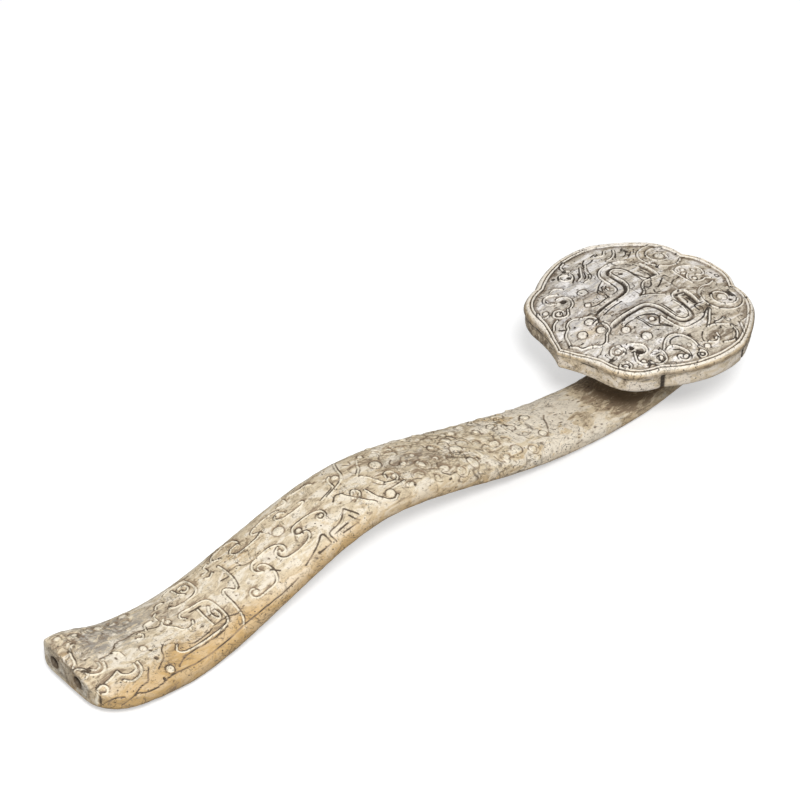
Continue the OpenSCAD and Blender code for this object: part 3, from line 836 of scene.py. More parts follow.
shaft_faces = strip_faces(rows, columns).tolist()
for hole, first in enumerate((first_hole, second_hole)):
    shaft_faces += strip_faces(hole_rows, HOLE_SIDES, first).tolist()
    last = first + (hole_rows - 1) * HOLE_SIDES
    shaft_faces += [(last + k, last + (k + 1) % HOLE_SIDES, extra + hole) for k in range(HOLE_SIDES)]
last_ring = (rows - 1) * columns
shaft_faces += [(last_ring + k, last_ring + (k + 1) % columns, extra + 2) for k in range(columns)]
for triangle in net_faces:
    middle = np.mean([net_points[k] for k in triangle], axis=0)
    if min(math.dist(middle, place) for place in HOLE_PLACES) > HOLE_R + 0.4:
        shaft_faces.append([int(end_index[origin[k][0]]) for k in triangle])

# Where the stone is tan, grey, stained and dirty, and where painted shade darkens it: under the head, in
# the cord holes and on the lee side of the carving. The tan skin's border runs through places along and
# across the bar. A slow noise, sway, keeps all borders uneven, and what lies beyond the grid of the bar has
# plain values.
sway = layered_noise(flat_points, (2.2, 23, 7), (1.2, 7, 8))
SKIN_LINE = [
    (-232, -20), (-205, -22), (-190, -17), (-178, -9), (-168, -18), (-140, -19), (-120, -25),
    (-60, -25.5), (0, -29), (60, -30), (120, -30), (200, -29),
]
skin_line = np.interp(x, *np.transpose(SKIN_LINE))
skin = np.clip((skin_line - side + 1.5 * sway) / 13 + 0.5, 0, 1)
grey = patch(1.35, (x + 200) / 40, (side - 17) / 17, 0.35 * sway / 3)
grey = np.maximum(grey, patch(0.7, (x + 5) / 46, (side + 1) / 15, 0.4 * sway / 3))
beyond = np.zeros(len(all_points) - len(flat_points))
hole_shade_and_dirt = beyond + 0.2
hole_shade_and_dirt[: 2 * hole_rows * HOLE_SIDES] = np.tile(np.repeat(HOLE_SHADE, HOLE_SIDES), 2)
worn = np.clip(0.72 + layered_noise(flat_points, (0.75, 5.5, 9), (0.3, 1.7, 10)), 0.12, 1)
# Dark soil in the cuts, crevices and pits, with painted shadow where the cuts are darker on their side away
# from the lamp.
dirt = np.maximum(face.soil * worn, 0.5 * crevices * broken * crusted) * upper
dirt = np.clip(dirt + 0.6 * np.clip(pitting * 3, 0, 1), 0, 1)
stain = patch(1.0, (x - 8) / 34, (side + 5 + sway) / 11, 0.25 * sway) * 0.8
stain = np.maximum(stain, 0.5 * patch(1.1, (x - 112) / 16, (side + 10 + sway) / 11, 0.25 * sway))
# Painted shade: the shaft is darkened and browned under the head, where the head shades it, partly brown
# soil in the bend.
shade_under_head = np.clip((x - 121 + 2.0 * sway) / 24, 0, 1) * np.clip((25 - np.abs(side) + sway) / 9, 0.1, 1)
stain = np.maximum(stain, 1.7 * shade_under_head)
dirt = np.maximum(dirt, 0.27 * shade_under_head)
stain -= 1.5 * np.clip(1.3 - np.abs((x - 100) / 40), 0, 1) * (stain < 0.3)
# Painted shade: brown on the lee side of the carving, away from the lamp.
stain += 1.2 * face.lee_shade * upper

DARK = (0.09, 0.065, 0.045, 1.0)


def jade(name, tones):
    """Chalky jade: stone with tan skin and grey patches where the piece's own values put them, clouded with
    white and brown along the grain, veined, and pricked with pores. Crests are painted paler as a painted
    highlight, hollows are painted brown, partly patina and partly painted shade, and the cuts hold dark
    soil with painted shade."""
    made, wire = material(name)
    place = wire.add("ShaderNodeTexCoord", out=3)
    skin, grey, dirt, relief, stain = (
        wire.add("ShaderNodeAttribute", {"attribute_name": label}, out=2)
        for label in ("skin", "grey", "dirt", "relief", "stain")
    )
    grain_place = wire.add("ShaderNodeMapping", {}, {"Vector": place, "Scale": (0.4, 1.0, 1.0)})
    broad = place.noise(32, 3.0)
    clouds = grain_place.noise(150, 5.0, 0.62, 0.8)
    streaks = grain_place.noise(330, 5.0, 0.65, 1.4)
    fine = place.noise(560, 4.0, 0.65)
    dust = place.noise(1500, 2.0)

    colour = (grey * 1.3 * streaks.between(0.35, 0.6)).clip().mixed(tones["stone"], tones["grey"])
    tan = (skin * 1.1 + (clouds - 0.5) * 0.9).clip()
    colour = tan.mixed(colour, tones["skin"])
    ochre = broad.between(0.50, 0.66) * streaks.between(0.42, 0.6) * 0.6
    colour = ochre.clip().mixed(colour, tones["skin"])
    white = (clouds - stain * 0.08 - grey * 0.04).between(0.47, 0.58) * (0.85 - tan * 0.7)
    colour = white.clip().mixed(colour, tones["pale"])
    brown = (1.0 - clouds + stain * 0.14).between(0.50, 0.66)
    brown = brown * (streaks + stain * 0.08).between(0.44, 0.60) * 0.9
    colour = brown.clip().mixed(colour, tones["stain"])
    # Painted highlight: where the relief stands above its surroundings, the crests are painted paler.
    crest = relief.between(0.05, 0.32) * (fine * 0.8 + 0.45)
    colour = crest.clip().mixed(colour, tones["crest"])
    # Painted shade: hollows below their surroundings are painted brown, partly the patina the stone holds
    # there.
    hollow = (0.0 - relief).between(0.0, 0.26) * (streaks * 1.3 + 0.15)
    colour = (hollow * 0.95).clip().mixed(colour, tones["stain"])
    off_vein = abs(place.noise(52, 4.0, 0.62, 1.0) - 0.5)
    vein = (1.0 - off_vein.between(0.0, 0.012)) * broad.between(0.44, 0.56)
    off_hair = abs(grain_place.noise(210, 3.0, 0.6, 1.0) - 0.5)
    hair = (1.0 - off_hair.between(0.0, 0.035)) * fine.between(0.44, 0.58)
    colour = (vein * 0.65 + hair * 0.4).clip().mixed(colour, DARK)
    speckle = fine.between(0.58, 0.70) * 0.5
    colour = speckle.clip().mixed(colour, tones["stain"])
    pores = wire.add("ShaderNodeTexVoronoi", {}, {"Vector": place, "Scale": 300.0})
    specks = wire.add("ShaderNodeTexVoronoi", {}, {"Vector": place, "Scale": 720.0})
    pore = (1.0 - pores.between(0.10, 0.18)) * broad.between(0.46, 0.54)
    speck = (1.0 - specks.between(0.12, 0.22)) * clouds.between(0.48, 0.56)
    colour = (pore * 0.85 + speck * 0.45).clip().mixed(colour, DARK)
    soil = (dirt.between(0.10, 0.58) * (dust * 0.5 + 0.74)).clip()
    colour = (soil * 0.95).clip().mixed(colour, tones["soil"])

    rough = fine * 0.22 + 0.40 + soil * 0.2
    bumps = fine * 0.6 + dust * 0.35 - pore * 0.9 - hair * 0.4 - vein * 0.8
    bump = wire.add("ShaderNodeBump", {}, {"Strength": 0.6, "Distance": 0.0003, "Height": bumps})
    surface = wire.add("ShaderNodeBsdfPrincipled", {}, {
        "Base Color": colour, "Roughness": rough, "Normal": bump, "IOR": 1.5, "Specular IOR Level": 0.35,
    })
    finish_material(wire, surface)
    return made


shaft_paint = jade("calcified_jade", {
    "stone": (0.68, 0.57, 0.40, 1.0), "skin": (0.56, 0.37, 0.16, 1.0), "grey": (0.34, 0.31, 0.27, 1.0),
    "pale": (0.84, 0.77, 0.65, 1.0), "stain": (0.26, 0.185, 0.12, 1.0), "crest": (0.86, 0.78, 0.62, 1.0),
    "soil": (0.085, 0.060, 0.038, 1.0),
})
shaft = make_piece(
    "carved_shaft", all_points, shaft_faces, shaft_paint, "root",
    skin=np.concatenate([skin, beyond]), grey=np.concatenate([grey, beyond + 0.6]),
    dirt=np.concatenate([dirt, hole_shade_and_dirt]), relief=np.concatenate([shaft_relief, beyond]),
    stain=np.concatenate([stain, beyond + 0.2]),
)
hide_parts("shaft")


# Head plaque: a second block of jade, cut to a lobed cloud with a pillowy rim
# and a low dome. A mask with a T-shaped nose is carved on it among scrolls.
head_low, head_high = (np.array(corner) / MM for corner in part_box("head_plaque"))
UNDER_Z = head_low[2]
TIP_X = 230.5
HEAD_L = 127.5
CUSP_X = TIP_X - HEAD_L
WALL_H = 11.0
RIM_TOP = UNDER_Z + WALL_H
RIM_DROP = 0.8
EDGE_LIFT = 1.8
DOME_RISE = 6.7
FIELD_SUNK = 0.9
HEAD_MIDDLE = 62.0
# Corners of the outline from the cusp to the tip, each with the rise of the arc
# that follows it and the number of points on that arc
HEAD_ARCS = [
    ((0, 0), -1.3, 14), ((8.5, 26.5), 6.5, 18), ((31.5, 52.3), 6.2, 24), ((85, 63.5), 1.2, 12),
    ((110, 46.8), 3.3, 14), ((121, 21), 2.2, 12), ((HEAD_L, 0), 0, 0),
]


def head_outline():
    """The plaque's outline as places (u, v): shallow parabolas between its
    corners, each risen outward at mid chord, then the same mirrored."""
    half = []
    for (p, rise, count), (q, _, _) in zip(HEAD_ARCS[:-1], HEAD_ARCS[1:]):
        p, q = np.array(p, float), np.array(q, float)
        chord = q - p
        outward = np.array([-chord[1], chord[0]]) / np.hypot(*chord)
        t = (np.arange(count) / count)[:, None]
        half.append(p + chord * t + outward * rise * 4 * t * (1 - t))
    half = np.vstack(half + [[HEAD_ARCS[-1][0]]])
    return np.vstack([half, half[-2:0:-1] * (1, -1)])


outline = head_outline()
centred = outline - (HEAD_MIDDLE, 0)
outline_turn = np.arctan2(centred[:, 1], centred[:, 0])
outline_radius = np.hypot(*centred.T)
order = np.argsort(outline_turn)


def reach_of_outline(angle):
    """Distance from the plaque's middle to its outline in that direction."""
    return np.interp(angle, outline_turn[order], outline_radius[order], period=2 * np.pi)


# A square grid laid over the face: squares about the middle become outlines,
# so that its cells keep much the same size everywhere. Its points have places
# head_u from the cusp to the tip and head_v across.
CELLS = 286
line = np.linspace(-1, 1, CELLS + 1)
grid_x, grid_y = np.meshgrid(line, line, indexing="ij")
wide = np.abs(grid_x) >= np.abs(grid_y)
signed = np.where(wide, grid_x, grid_y)
other = np.where(wide, grid_y, grid_x)
ratio = np.divide(other, signed, out=np.zeros_like(other), where=np.abs(signed) > 1e-9)
angle = np.where(wide, np.pi / 4 * ratio, np.pi / 2 - np.pi / 4 * ratio)
angle = np.where(signed < 0, angle + np.pi, angle)
part = np.abs(signed)
reach = reach_of_outline((angle + np.pi) % (2 * np.pi) - np.pi)
head_u = (HEAD_MIDDLE + part * reach * np.cos(angle)).ravel()
head_v = (part * reach * np.sin(angle)).ravel()
mask = Relief(head_u, head_v)
WHOLE_FACE = 200.0
_, from_edge, _ = mask.near(np.vstack([outline, outline[:1]]), WHOLE_FACE)

# Raised lines of the mask. The first two are the T-shaped nose: they run side by
# side from the cloud over the cusp and spread into the hooked arms.
HEAD_THREADS = [
    [(36.2, 4.8), (43.1, 6.1), (51, 7), (58, 7.5), (62.5, 8.6), (65.8, 11), (68.1, 14.6), (69, 19.1),
     (69.3, 27.2), (70.5, 30.7), (73.8, 31.3), (76.5, 29.1), (77.9, 24.9), (78.8, 17.2), (80.6, 11.7),
     (83.6, 10.4), (89.3, 10.9), (90.7, 13.3), (91.2, 20.4), (90.5, 26.9)],
    [(35.2, -6.6), (38.7, -5.9), (46.1, -5.2), (54, -5), (60, -5.2), (63.6, -6.8), (66, -10),
     (67.1, -13.9), (67.3, -21.9), (68.2, -27.4), (70.9, -29.8), (74.3, -29.5), (77.1, -26.8),
     (78.2, -20.8), (78.9, -13.9), (80.5, -9.7), (83.6, -8.1), (89.3, -8.4), (90.9, -10.3),
     (90.5, -16.7), (89.6, -21.7)],
    [(76.2, -25.8), (77.2, -20.4), (76.9, -13.9)],
    [(81.8, 9.9), (78.1, 10.3), (75.1, 8.9), (72.4, 6), (70.6, 3), (68, 1.3), (66, 0.6)],
    [(77.5, -6.5), (74.7, -4.4), (72, -2.3), (69, -0.4), (66, 0.6)],
    [(61.8, 22.1), (62, 28.2), (63.7, 32.7), (67.4, 36.2), (72.5, 37.7), (79.6, 37.4), (86.6, 34.2)],
    [(61.3, -19.9), (61.6, -26.4), (62.5, -31.2), (64.3, -34.5), (68.4, -36.2), (76.4, -36),
     (81.5, -34.8), (85.5, -32.2), (89.5, -30)],
    # small cloud over the cusp
    [(8.1, -2.3), (10, 1.2), (12, 5.4), (14.6, 7.8), (16.9, 8.9), (18.5, 11.5), (21.5, 12.9),
     (25, 12.2), (27.3, 9.7)],
    [(8.1, -2.3), (10.2, -5.2), (11.4, -8.6), (14.2, -10.2), (17.1, -12.3), (20.1, -15.1), (23.4, -15),
     (26.2, -12.7), (28.3, -10.6), (30.9, -9.5), (33, -7), (33.2, -4), (31.6, -1.8), (29.7, -1.5)],
    [(27.1, 9.5), (29.9, 8.7), (32.4, 6.6), (33.2, 3.6), (31.8, 1.1), (29.3, 0.7)],
    # brow scroll at the tip
    [(104, 2.5), (101.5, 3.7), (100.9, 7.1), (103.2, 10), (107.4, 10.5), (111.3, 9), (114.4, 5.7),
     (115.4, 1.9), (113.9, -1.8), (110.6, -3.3), (108.1, -1.8)],
    [(104.2, 1.5), (101.4, -0.7), (100.8, -4.1), (103.2, -6.9), (106.9, -7.6), (110.4, -6.7),
     (113.5, -7.8)],
    [(99.9, 10.3), (99.1, 4.4), (99.3, -1.6), (99.9, -6.6)],
    # scrolls of the near cheek
    [(44.1, -41.7), (47.1, -41.2), (50.3, -43.1), (52.5, -46.9), (52.7, -50.8), (50.7, -53.9),
     (47.6, -54.1), (45.5, -51.6), (46.4, -49), (48.7, -49.8)],
    [(43.5, -40.4), (46.8, -37.4), (50.4, -35.3), (54.3, -34.7), (58, -36.7), (60.4, -40.2),
     (61.3, -44.5), (61, -49.4)],
    curl((57.8, -55.9), 3.2, 1.4, 60, -250),
    [(41.5, -39.2), (41.2, -43.5), (39.2, -46.8), (35.3, -47.7), (32.1, -45.9), (30.7, -42.8)],
    [(30.8, -24.6), (34.2, -27.4), (36.6, -31), (35.9, -34.6), (32.7, -36.3), (29.5, -35.3)],
    [(26.6, -22.4), (24.2, -20.8), (20.9, -21.3), (18.8, -24), (19.4, -27.2), (22.4, -28.7),
     (25.3, -27.9), (26.5, -25.6), (24.7, -24.1)],
    [(29.1, -31.5), (27.2, -34.5), (25.6, -37.8), (26.3, -41), (28.7, -42.8), (31.2, -41.8)],
    [(20.9, -33.8), (21.1, -37.3), (18.4, -39.3), (15.2, -38), (14.6, -35), (16.7, -33.3)],
    [(29.8, -49.6), (25.9, -49.2), (20.9, -48.5), (17.5, -47)],
    # scrolls of the far cheek
    [(28.4, 21.6), (25.6, 18.2), (22.5, 17.9), (19.6, 20), (19, 23), (21.6, 25.4), (24.5, 24.5),
     (25.5, 22.1)],
    [(30, 21), (33, 22.4), (35.4, 25.6), (35.8, 29.4), (33.9, 32.9), (31.2, 33.6)],
    [(34.2, 36.6), (30.7, 39.3), (27, 39.4), (24.3, 36.2), (24.5, 32.3), (27.2, 30.6)],
    [(40.2, 38.6), (37.5, 42.1), (34.1, 41.7)],
    [(15.2, 31.9), (13.2, 29.1), (14.6, 26.2), (17.7, 25.7)],
    [(18, 19), (14.5, 17.9), (11.9, 15.3)],
    [(51.7, 46.7), (48.8, 49.4), (46.3, 46.8), (47, 43), (50.2, 41.6), (53.2, 43.6), (54.3, 47.3)],
    [(59.7, 58.1), (56.1, 56.5), (54.5, 52.9), (56.2, 49.4)],
    [(66.8, 47.4), (62.6, 42.6), (60.8, 37.4), (57.8, 34.4), (53.4, 33.6)],
    [(62.7, 47.1), (59.2, 43), (56.3, 39.3), (52.1, 37.5)],
    [(91.2, 49.2), (87.4, 44.9), (82.8, 42.2), (78.7, 41.7)],
    [(85.8, 51.3), (82, 48.1), (78.5, 49.1), (79.5, 52.1)],
    # bird-like chevrons on the near side
    [(89.1, -31.2), (85.3, -34.6), (81.5, -38.3), (77.1, -41.5)],
    [(90.5, -47.6), (85.7, -44.8), (81.2, -42.5), (76.5, -41.9)],
    [(91.1, -40.4), (87.3, -41.6), (83, -41.7)],
    [(89.5, -48.2), (88.6, -53.1), (85, -56.7), (80.6, -57.9), (75.5, -56.2)],
    [(77.1, -48.4), (75.4, -52.1), (71.8, -53.5), (68.3, -51)],
    [(114.3, -41.5), (109.3, -45.5), (102.6, -47.8), (96, -48.7)],
    [(96, -49.1), (93.1, -53.7), (90.5, -57.6)],
    [(111.9, -11.2), (107.1, -12.6), (102.2, -12.1), (97.3, -14.2), (93.4, -18)],
]
HEAD_CUTS = [
    # eyes: lids, corners and the lines within
    [(62.8, 25.6), (62.3, 17.5), (60.1, 14.3), (55.5, 13.5)],
    [(50.8, 20.6), (51.3, 15.7), (50.5, 13.3)], [(61, 27.8), (56.6, 25.4), (53, 22.6), (50.9, 21)],
    [(53.6, 22.2), (54, 17.9), (53.1, 14.5)], [(59.6, 22.8), (57.5, 21.1), (57.1, 18.5), (59.1, 16.7)],
    [(56.6, 23.2), (54.9, 20.7)], [(51.3, 13.3), (46.7, 12.5), (42, 12.3), (39.2, 13.4)],
    [(53.1, -11.5), (56.5, -12.6), (59.3, -14.9), (60.5, -17.9), (59.7, -20.3), (57.3, -22.9),
     (58.8, -25.8), (60.4, -29.8)],
    [(51.3, -11.7), (52, -16.5), (52.3, -20.7), (54.2, -23.6), (57.2, -25.8), (59.8, -29.2)],
    [(50, -12.3), (50.7, -17.5), (50.6, -22.2)],
    [(52.1, -11.3), (46.1, -11.6), (41.5, -11.9), (39.6, -13.2)],
    # lines that keep the nose threads company
    [(38.2, 2.5), (46.1, 4.1), (54, 4.6)], [(69.9, -11.9), (70, -19.9), (69.8, -24.8)],
    [(78.6, 25.9), (78.6, 19.2), (78.3, 12.7)],
    # key ends of the arms
    [(87.9, -22.3), (84.3, -23.5), (83.6, -28.1)], [(90.4, -23.6), (87.8, -22.9)],
    [(86.8, -14.4), (86.5, -21.1)], [(85.2, -14.8), (84.5, -17.8), (83, -19.4)],
    [(88.7, -12.2), (85.2, -12)], [(86.9, 15.3), (86.6, 22.3)], [(84.2, 16.2), (83.9, 21.7)],
    [(88.9, 13.9), (85.2, 13.6)],
    # forehead
    [(80.5, 7.5), (78.1, 5.1), (75.9, 4.7), (74.5, 6.1)], [(77.5, -2.7), (75.3, -1.4), (76.3, 0.9)],
    [(88.8, 6.8), (84.2, 3.7), (80.1, 1.5)], [(93.9, 2.3), (90.9, 0.9), (88.8, -1.4)],
    [(98.4, 2.6), (95.8, 2.1)],
    # cheeks and temples
    [(57.4, -38.1), (54, -37.1), (50.8, -37.8), (49, -39.6)],
    [(51.2, -49.6), (50.4, -45.9), (47.5, -43.9)], [(37.2, -42.5), (35.6, -44.8), (36.7, -46.6)],
    [(39.1, -40.5), (36.9, -39.5)], [(63.5, -42), (62.4, -40.2), (64.8, -39.6)],
    [(71.1, -43.1), (68, -45.9), (66.6, -48.8)], [(74.3, -48.8), (72.9, -50.6)],
    [(83.6, -56.3), (82.4, -58.5)], [(61.2, 42.6), (58.5, 38.5), (56.4, 36.8)],
    [(57.8, 44), (55.5, 40.5), (53.5, 39.1)], [(65.3, 44.7), (63.6, 41.6)],
    [(70.6, 52.4), (66.4, 49.2), (64.7, 45.7)], [(74.9, 49.5), (71.4, 47.8), (67.8, 47.6)],
    [(80.7, 53.1), (76, 52.4)], [(89, 45.2), (85.2, 41.4)], [(98.1, 41.7), (94.3, 38.7), (90.8, 36.7)],
    [(96.1, 43.7), (92.5, 40.5), (89.4, 39.2)], [(101.3, 42.8), (98.1, 39.4)],
    [(51.3, 50.9), (47.9, 50.3), (46.4, 47.6)], [(55.1, 45.7), (52.6, 41.6), (49.1, 39.1)],
    [(86.5, 28.5), (84.1, 31.9)], [(89.2, 29.5), (92.3, 33.7)], [(30.5, -33.1), (28.1, -30.5)],
    [(22.5, -25.5), (21.9, -23.5)], [(17.8, -36.7), (16.5, -34.9)], [(23.5, 22.5), (22.1, 21.1)],
    [(13.6, 13), (16, 10.2)], [(17.5, -9.5), (15.9, -12.1)], [(97.6, 20.5), (95.5, 17.9)],
    [(98.5, -11.6), (96, -9.2)],
]
# What stands up or lies deep as a whole: the nose with its arms, the cloud,
# the scroll heads, the eye hollows and the keys cut into the arms
HEAD_AREAS = [
    ([(34.2, 4.8), (44.1, 6.1), (58, 7.6), (65.4, 11), (68.5, 19.1), (69.3, 27.2), (73.4, 30.9),
      (77.3, 25.3), (78.6, 17.2), (80.3, 11.1), (88.3, 10.6), (89.2, 0.2), (88.2, -8.2), (80.5, -9.3),
      (79, -15.9), (77.6, -23.8), (74.3, -29.1), (70.3, -29.2), (67.5, -21.9), (66.6, -12), (62, -6),
      (50, -5), (34.2, -6.4)], 0.55),
    ([(8.3, -2.3), (12, 5.4), (18.5, 11.3), (25, 12), (31.3, 7.9), (33.2, 0.2), (32.2, -7.8),
      (26.3, -12.5), (20.1, -14.5), (12.6, -9.4)], 0.45),
    ([(51.1, 14.1), (58.1, 14.1), (61.7, 18.1), (61.8, 25.8), (56.2, 24.8), (51.2, 20.6)], -0.55),
    ([(51.7, -11.9), (57.1, -12.6), (60.1, -16.9), (59.8, -24.8), (56.2, -25.4), (52.5, -20.3)], -0.55),
    ([(83.2, -12.8), (89.9, -11.7), (90.4, -21.7), (84.3, -23.7)], -0.6),
    ([(83.6, 14.2), (89.9, 13.7), (90.7, 23.4), (84.3, 23.3)], -0.5),
    ([(101.1, 6.5), (104.7, 10.4), (110.9, 8.8), (115, 2.9), (111.9, -3.2), (104.6, -7),
      (101.1, -2.5)], 0.4),
    ([(44.1, -40.6), (50.4, -35.7), (57.4, -36.7), (60.9, -44.5), (58.7, -51.4), (53.1, -45.5)], 0.45),
    ([(19.1, -21.5), (25.4, -22.2), (27.5, -29.5), (21.6, -28.5)], 0.4),
    ([(31.7, -43.4), (35.7, -47.4), (41.6, -44.5), (40.5, -39.1)], 0.4),
    ([(26.6, 31.6), (31.5, 29.5), (35.5, 32.5), (32.7, 38.7), (26.8, 38.8)], -0.5),
    ([(19.2, 19.6), (22.5, 18.1), (26.4, 20.4), (23.6, 25.2), (19.6, 23.6)], 0.4),
    ([(46.6, 42.6), (52.6, 42.6), (53.7, 46.7), (49.8, 49.4), (46.3, 46.8)], 0.4),
    ([(62.2, 24.2), (66.2, 22.2), (68.3, 28.3), (71.4, 33.4), (78.5, 34.5), (84.5, 32.5), (84.6, 36.2),
      (74.5, 37.5), (66.4, 35.4)], 0.35),
    ([(62.1, -21.9), (66.1, -21.9), (68.2, -28.8), (72.3, -31.7), (80.4, -30.7), (86.4, -29.6),
      (86.5, -32.6), (76.4, -35.6), (66.3, -34.7)], 0.35),
]
# The scroll roundels at the temples: each one's middle, and which way it turns
ROUNDELS = [((106.5, 26.9), 1), ((104.4, -25.9), -1)]
for points, rise in HEAD_AREAS:
    mask.area(points, rise)
for middle, _ in ROUNDELS:
    mask.area(curl(middle, 12.6, 12.6, 0, 345), 0.35)
    mask.area(curl(middle, 7.5, 7.5, 0, 345), -0.35)
for path in HEAD_THREADS:
    mask.thread(path)
for path in HEAD_CUTS:
    mask.cut(path)


def beside(points, away):
    """Points along a smooth path moved sideways: to its left where away is above 0."""
    line = smooth_path(points)
    along = np.gradient(line, axis=0)
    along /= np.linalg.norm(along, axis=1, keepdims=True)
    return (line + away * np.column_stack([-along[:, 1], along[:, 0]]))[::4]


# The nose and its arms stand out from a deeper trench, darkened with soil and painted shade. Then come the
# round bosses of cheeks, cloud and scrolls.
TRENCH_AWAY = 1.9
for path, away in zip(HEAD_THREADS, (TRENCH_AWAY, -TRENCH_AWAY)):
    mask.cut(beside(path, away), width=0.85, depth=0.75, soil=0.75)
for place, radius in [
    ((45.3, 27.1), 3.0), ((43.7, -26.5), 3.0), ((38.9, 16.1), 1.7), ((38.4, -15.2), 2.5),
    ((56.5, -17.5), 1.6), ((18.5, -0.9), 2.8), ((28.3, 3.9), 2.6), ((28.3, -5.7), 2.6),
    ((57.5, 19.7), 1.3), ((37.2, -43.8), 1.7), ((49.7, -52), 1.7), ((17.9, -36.3), 1.7),
    ((22.1, 21.9), 1.8), ((22.5, -25.1), 1.8), ((18.1, 28.7), 1.6), ((28, -40), 1.5),
    ((65.3, -52.8), 1.7), ((110.8, 3.4), 1.5), ((104.6, -3.9), 1.4), ((105.3, 6.6), 1.3),
    ((57.8, -56.3), 1.3), ((74.3, -51.3), 1.2),
]:
    mask.boss(place, radius)

# The rings and spirals of the roundels, and the dark drilled hollows
for middle, turn in ROUNDELS:
    mask.thread(curl(middle, 12.8, 12.4, 60 - 40 * turn, 60 - 40 * turn + 292), rise=0.5)
    mask.thread(curl(middle, 9.2, 3.8, 40 * turn, 40 * turn + 330 * turn), rise=0.5)
    mask.boss(middle, 2.9, rise=0.7)
for place, radius, depth in [
    ((73.6, 25.2), 1.2, 1.4), ((72.2, -22.6), 1.4, 1.6), ((32.3, -32.6), 2.3, 1.3),
    ((30.4, -28), 1.3, 0.9), ((32.1, 29.1), 2.1, 1.1), ((108.4, 23.3), 1.5, 1.0),
    ((101, -20.5), 1.3, 0.8), ((106.9, -30.2), 1.2, 0.7), ((53.9, 51.5), 1.2, 0.9),
    ((44.9, 50.9), 1.1, 0.8), ((93.9, 39.3), 1.2, 0.8), ((79, 50.6), 1.1, 0.8),
    ((66.5, 51.5), 1.0, 0.8), ((50.7, 44.3), 1.3, 1.0), ((83.6, -57.5), 0.8, 0.7),
]:
    mask.pit(place, radius, depth)

# Height of the face: a low dome that rolls over at the rim, a sunk field, and
# a thin raised line that follows the outline inside the rim band
from_cusp = np.clip(np.hypot(head_u, head_v) / 26, 0.45, 1)
band = (2.7 + 1.2 * np.clip(head_v / 60, 0, 1)) * from_cusp
roll = 1 - (1 - np.clip(from_edge / (3.0 * from_cusp), 0, 1)) ** 2.4
dome = EDGE_LIFT * from_cusp + DOME_RISE * (1 - part.ravel() ** 2)
pillow = 0.5 * np.sqrt(np.clip(1 - ((from_edge - band * 0.62) / (band * 0.38)) ** 2, 0, 1))
line_off = from_edge - band - 1.1
rim_line = bell(line_off, 0.5)
rim_groove = bell(np.abs(line_off) - 0.9, 0.38)
field = np.clip((from_edge - band - 1.4) / 1.6, 0, 1)
field = field * field * (3 - 2 * field)
inside = np.clip(from_edge - band + 0.3, 0, 1)
top = RIM_TOP - RIM_DROP + (dome + RIM_DROP) * roll ** (1 / 1.3)
top = np.where(from_edge < 0.01, RIM_TOP - RIM_DROP, top)
carving = inside * mask.height() + 0.45 * rim_line - 0.5 * rim_groove
face_points = np.column_stack([CUSP_X + head_u, head_v, top])
wave = layered_noise(face_points, (0.2, 15, 11), (0.1, 5, 12))
grit = layered_noise(face_points, (0.07, 1.7, 13), (0.05, 1.0, 14))
head_pits = np.clip(lattice_noise(face_points, 1.4, 15) - 0.6, 0, 1)
from_wall = np.clip(from_edge / 2, 0, 1)
scales = lattice_noise(face_points, 3.9, 44)
crevices = cracks(scales, 0.13) * np.clip(0.35 + lattice_noise(face_points, 9, 45), 0, 1)
crust = field * (0.16 * scales - 0.28 * crevices) * (1 - np.clip(mask.raised * 3, 0, 1))
carved = carving + crust + pillow - FIELD_SUNK * field + (grit - 0.9 * head_pits) * from_wall
head_relief = carved - soften(carved.reshape(CELLS + 1, CELLS + 1), 26).ravel()
face_points[:, 2] += carved + wave * from_wall
face_points[:, 2] = np.minimum(face_points[:, 2], head_high[2])

# Edge of the square grid, once round, in the order of the outline
index = np.arange((CELLS + 1) ** 2).reshape(CELLS + 1, CELLS + 1)
border = np.concatenate([index[:-1, 0], index[-1, :-1], index[:0:-1, -1], index[0, :0:-1]])
rim_count = len(border)
rim_place = np.column_stack([head_u[border], head_v[border]])

# Side wall and underside: rings that drop from the border, roll under and
# close on the middle, each at a share of the outline's reach and a height. The
# notches are filed deeper where two lobes meet.
WALL = [
    (1.0, 9.8), (0.996, 9.2), (0.991, 8.4), (0.990, 7.2), (0.990, 6.0), (0.990, 4.8), (0.990, 3.6),
    (0.989, 2.5), (0.985, 1.5), (0.978, 0.7), (0.967, 0.15), (0.952, 0.0), (0.85, 0.0), (0.7, 0.0),
    (0.5, 0.0), (0.3, 0.0), (0.12, 0.0),
]
LOBE_CORNERS = (2, 3, 5)
far_notches = np.array([HEAD_ARCS[k][0] for k in LOBE_CORNERS])
notches = np.vstack([far_notches, far_notches * (1, -1)])
to_notch = np.min(np.linalg.norm(rim_place[:, None] - notches[None], axis=2), axis=1)
wedge = np.clip(1 - to_notch / 2.2, 0, 1)
UNDERSIDE_DIRT = 0.15
wall_points, wall_dirt = [], []
for share, above in WALL:
    ring_place = (rim_place - (HEAD_MIDDLE, 0)) * share + (HEAD_MIDDLE, 0)
    ring_points = np.column_stack([
        CUSP_X + ring_place[:, 0], ring_place[:, 1], np.full(rim_count, UNDER_Z + above),
    ])
    if above > 0:
        bite = 0.014 * wedge + 0.003 * (1 + lattice_noise(ring_points, 9, 16))
        bite += 0.0016 * (1 + lattice_noise(ring_points, 1.8, 17))
        ring_points[:, :2] -= (ring_points[:, :2] - (CUSP_X + HEAD_MIDDLE, 0)) * bite[:, None]
        crease = 0.6 * bell(above - 9.0, 0.7)
        wall_dirt.append(np.maximum(wedge * 0.9, crease * (0.6 + lattice_noise(ring_points, 5, 22))))
    else:
        wall_dirt.append(np.full(rim_count, UNDERSIDE_DIRT))
    wall_points.append(ring_points)
first_wall = len(face_points)
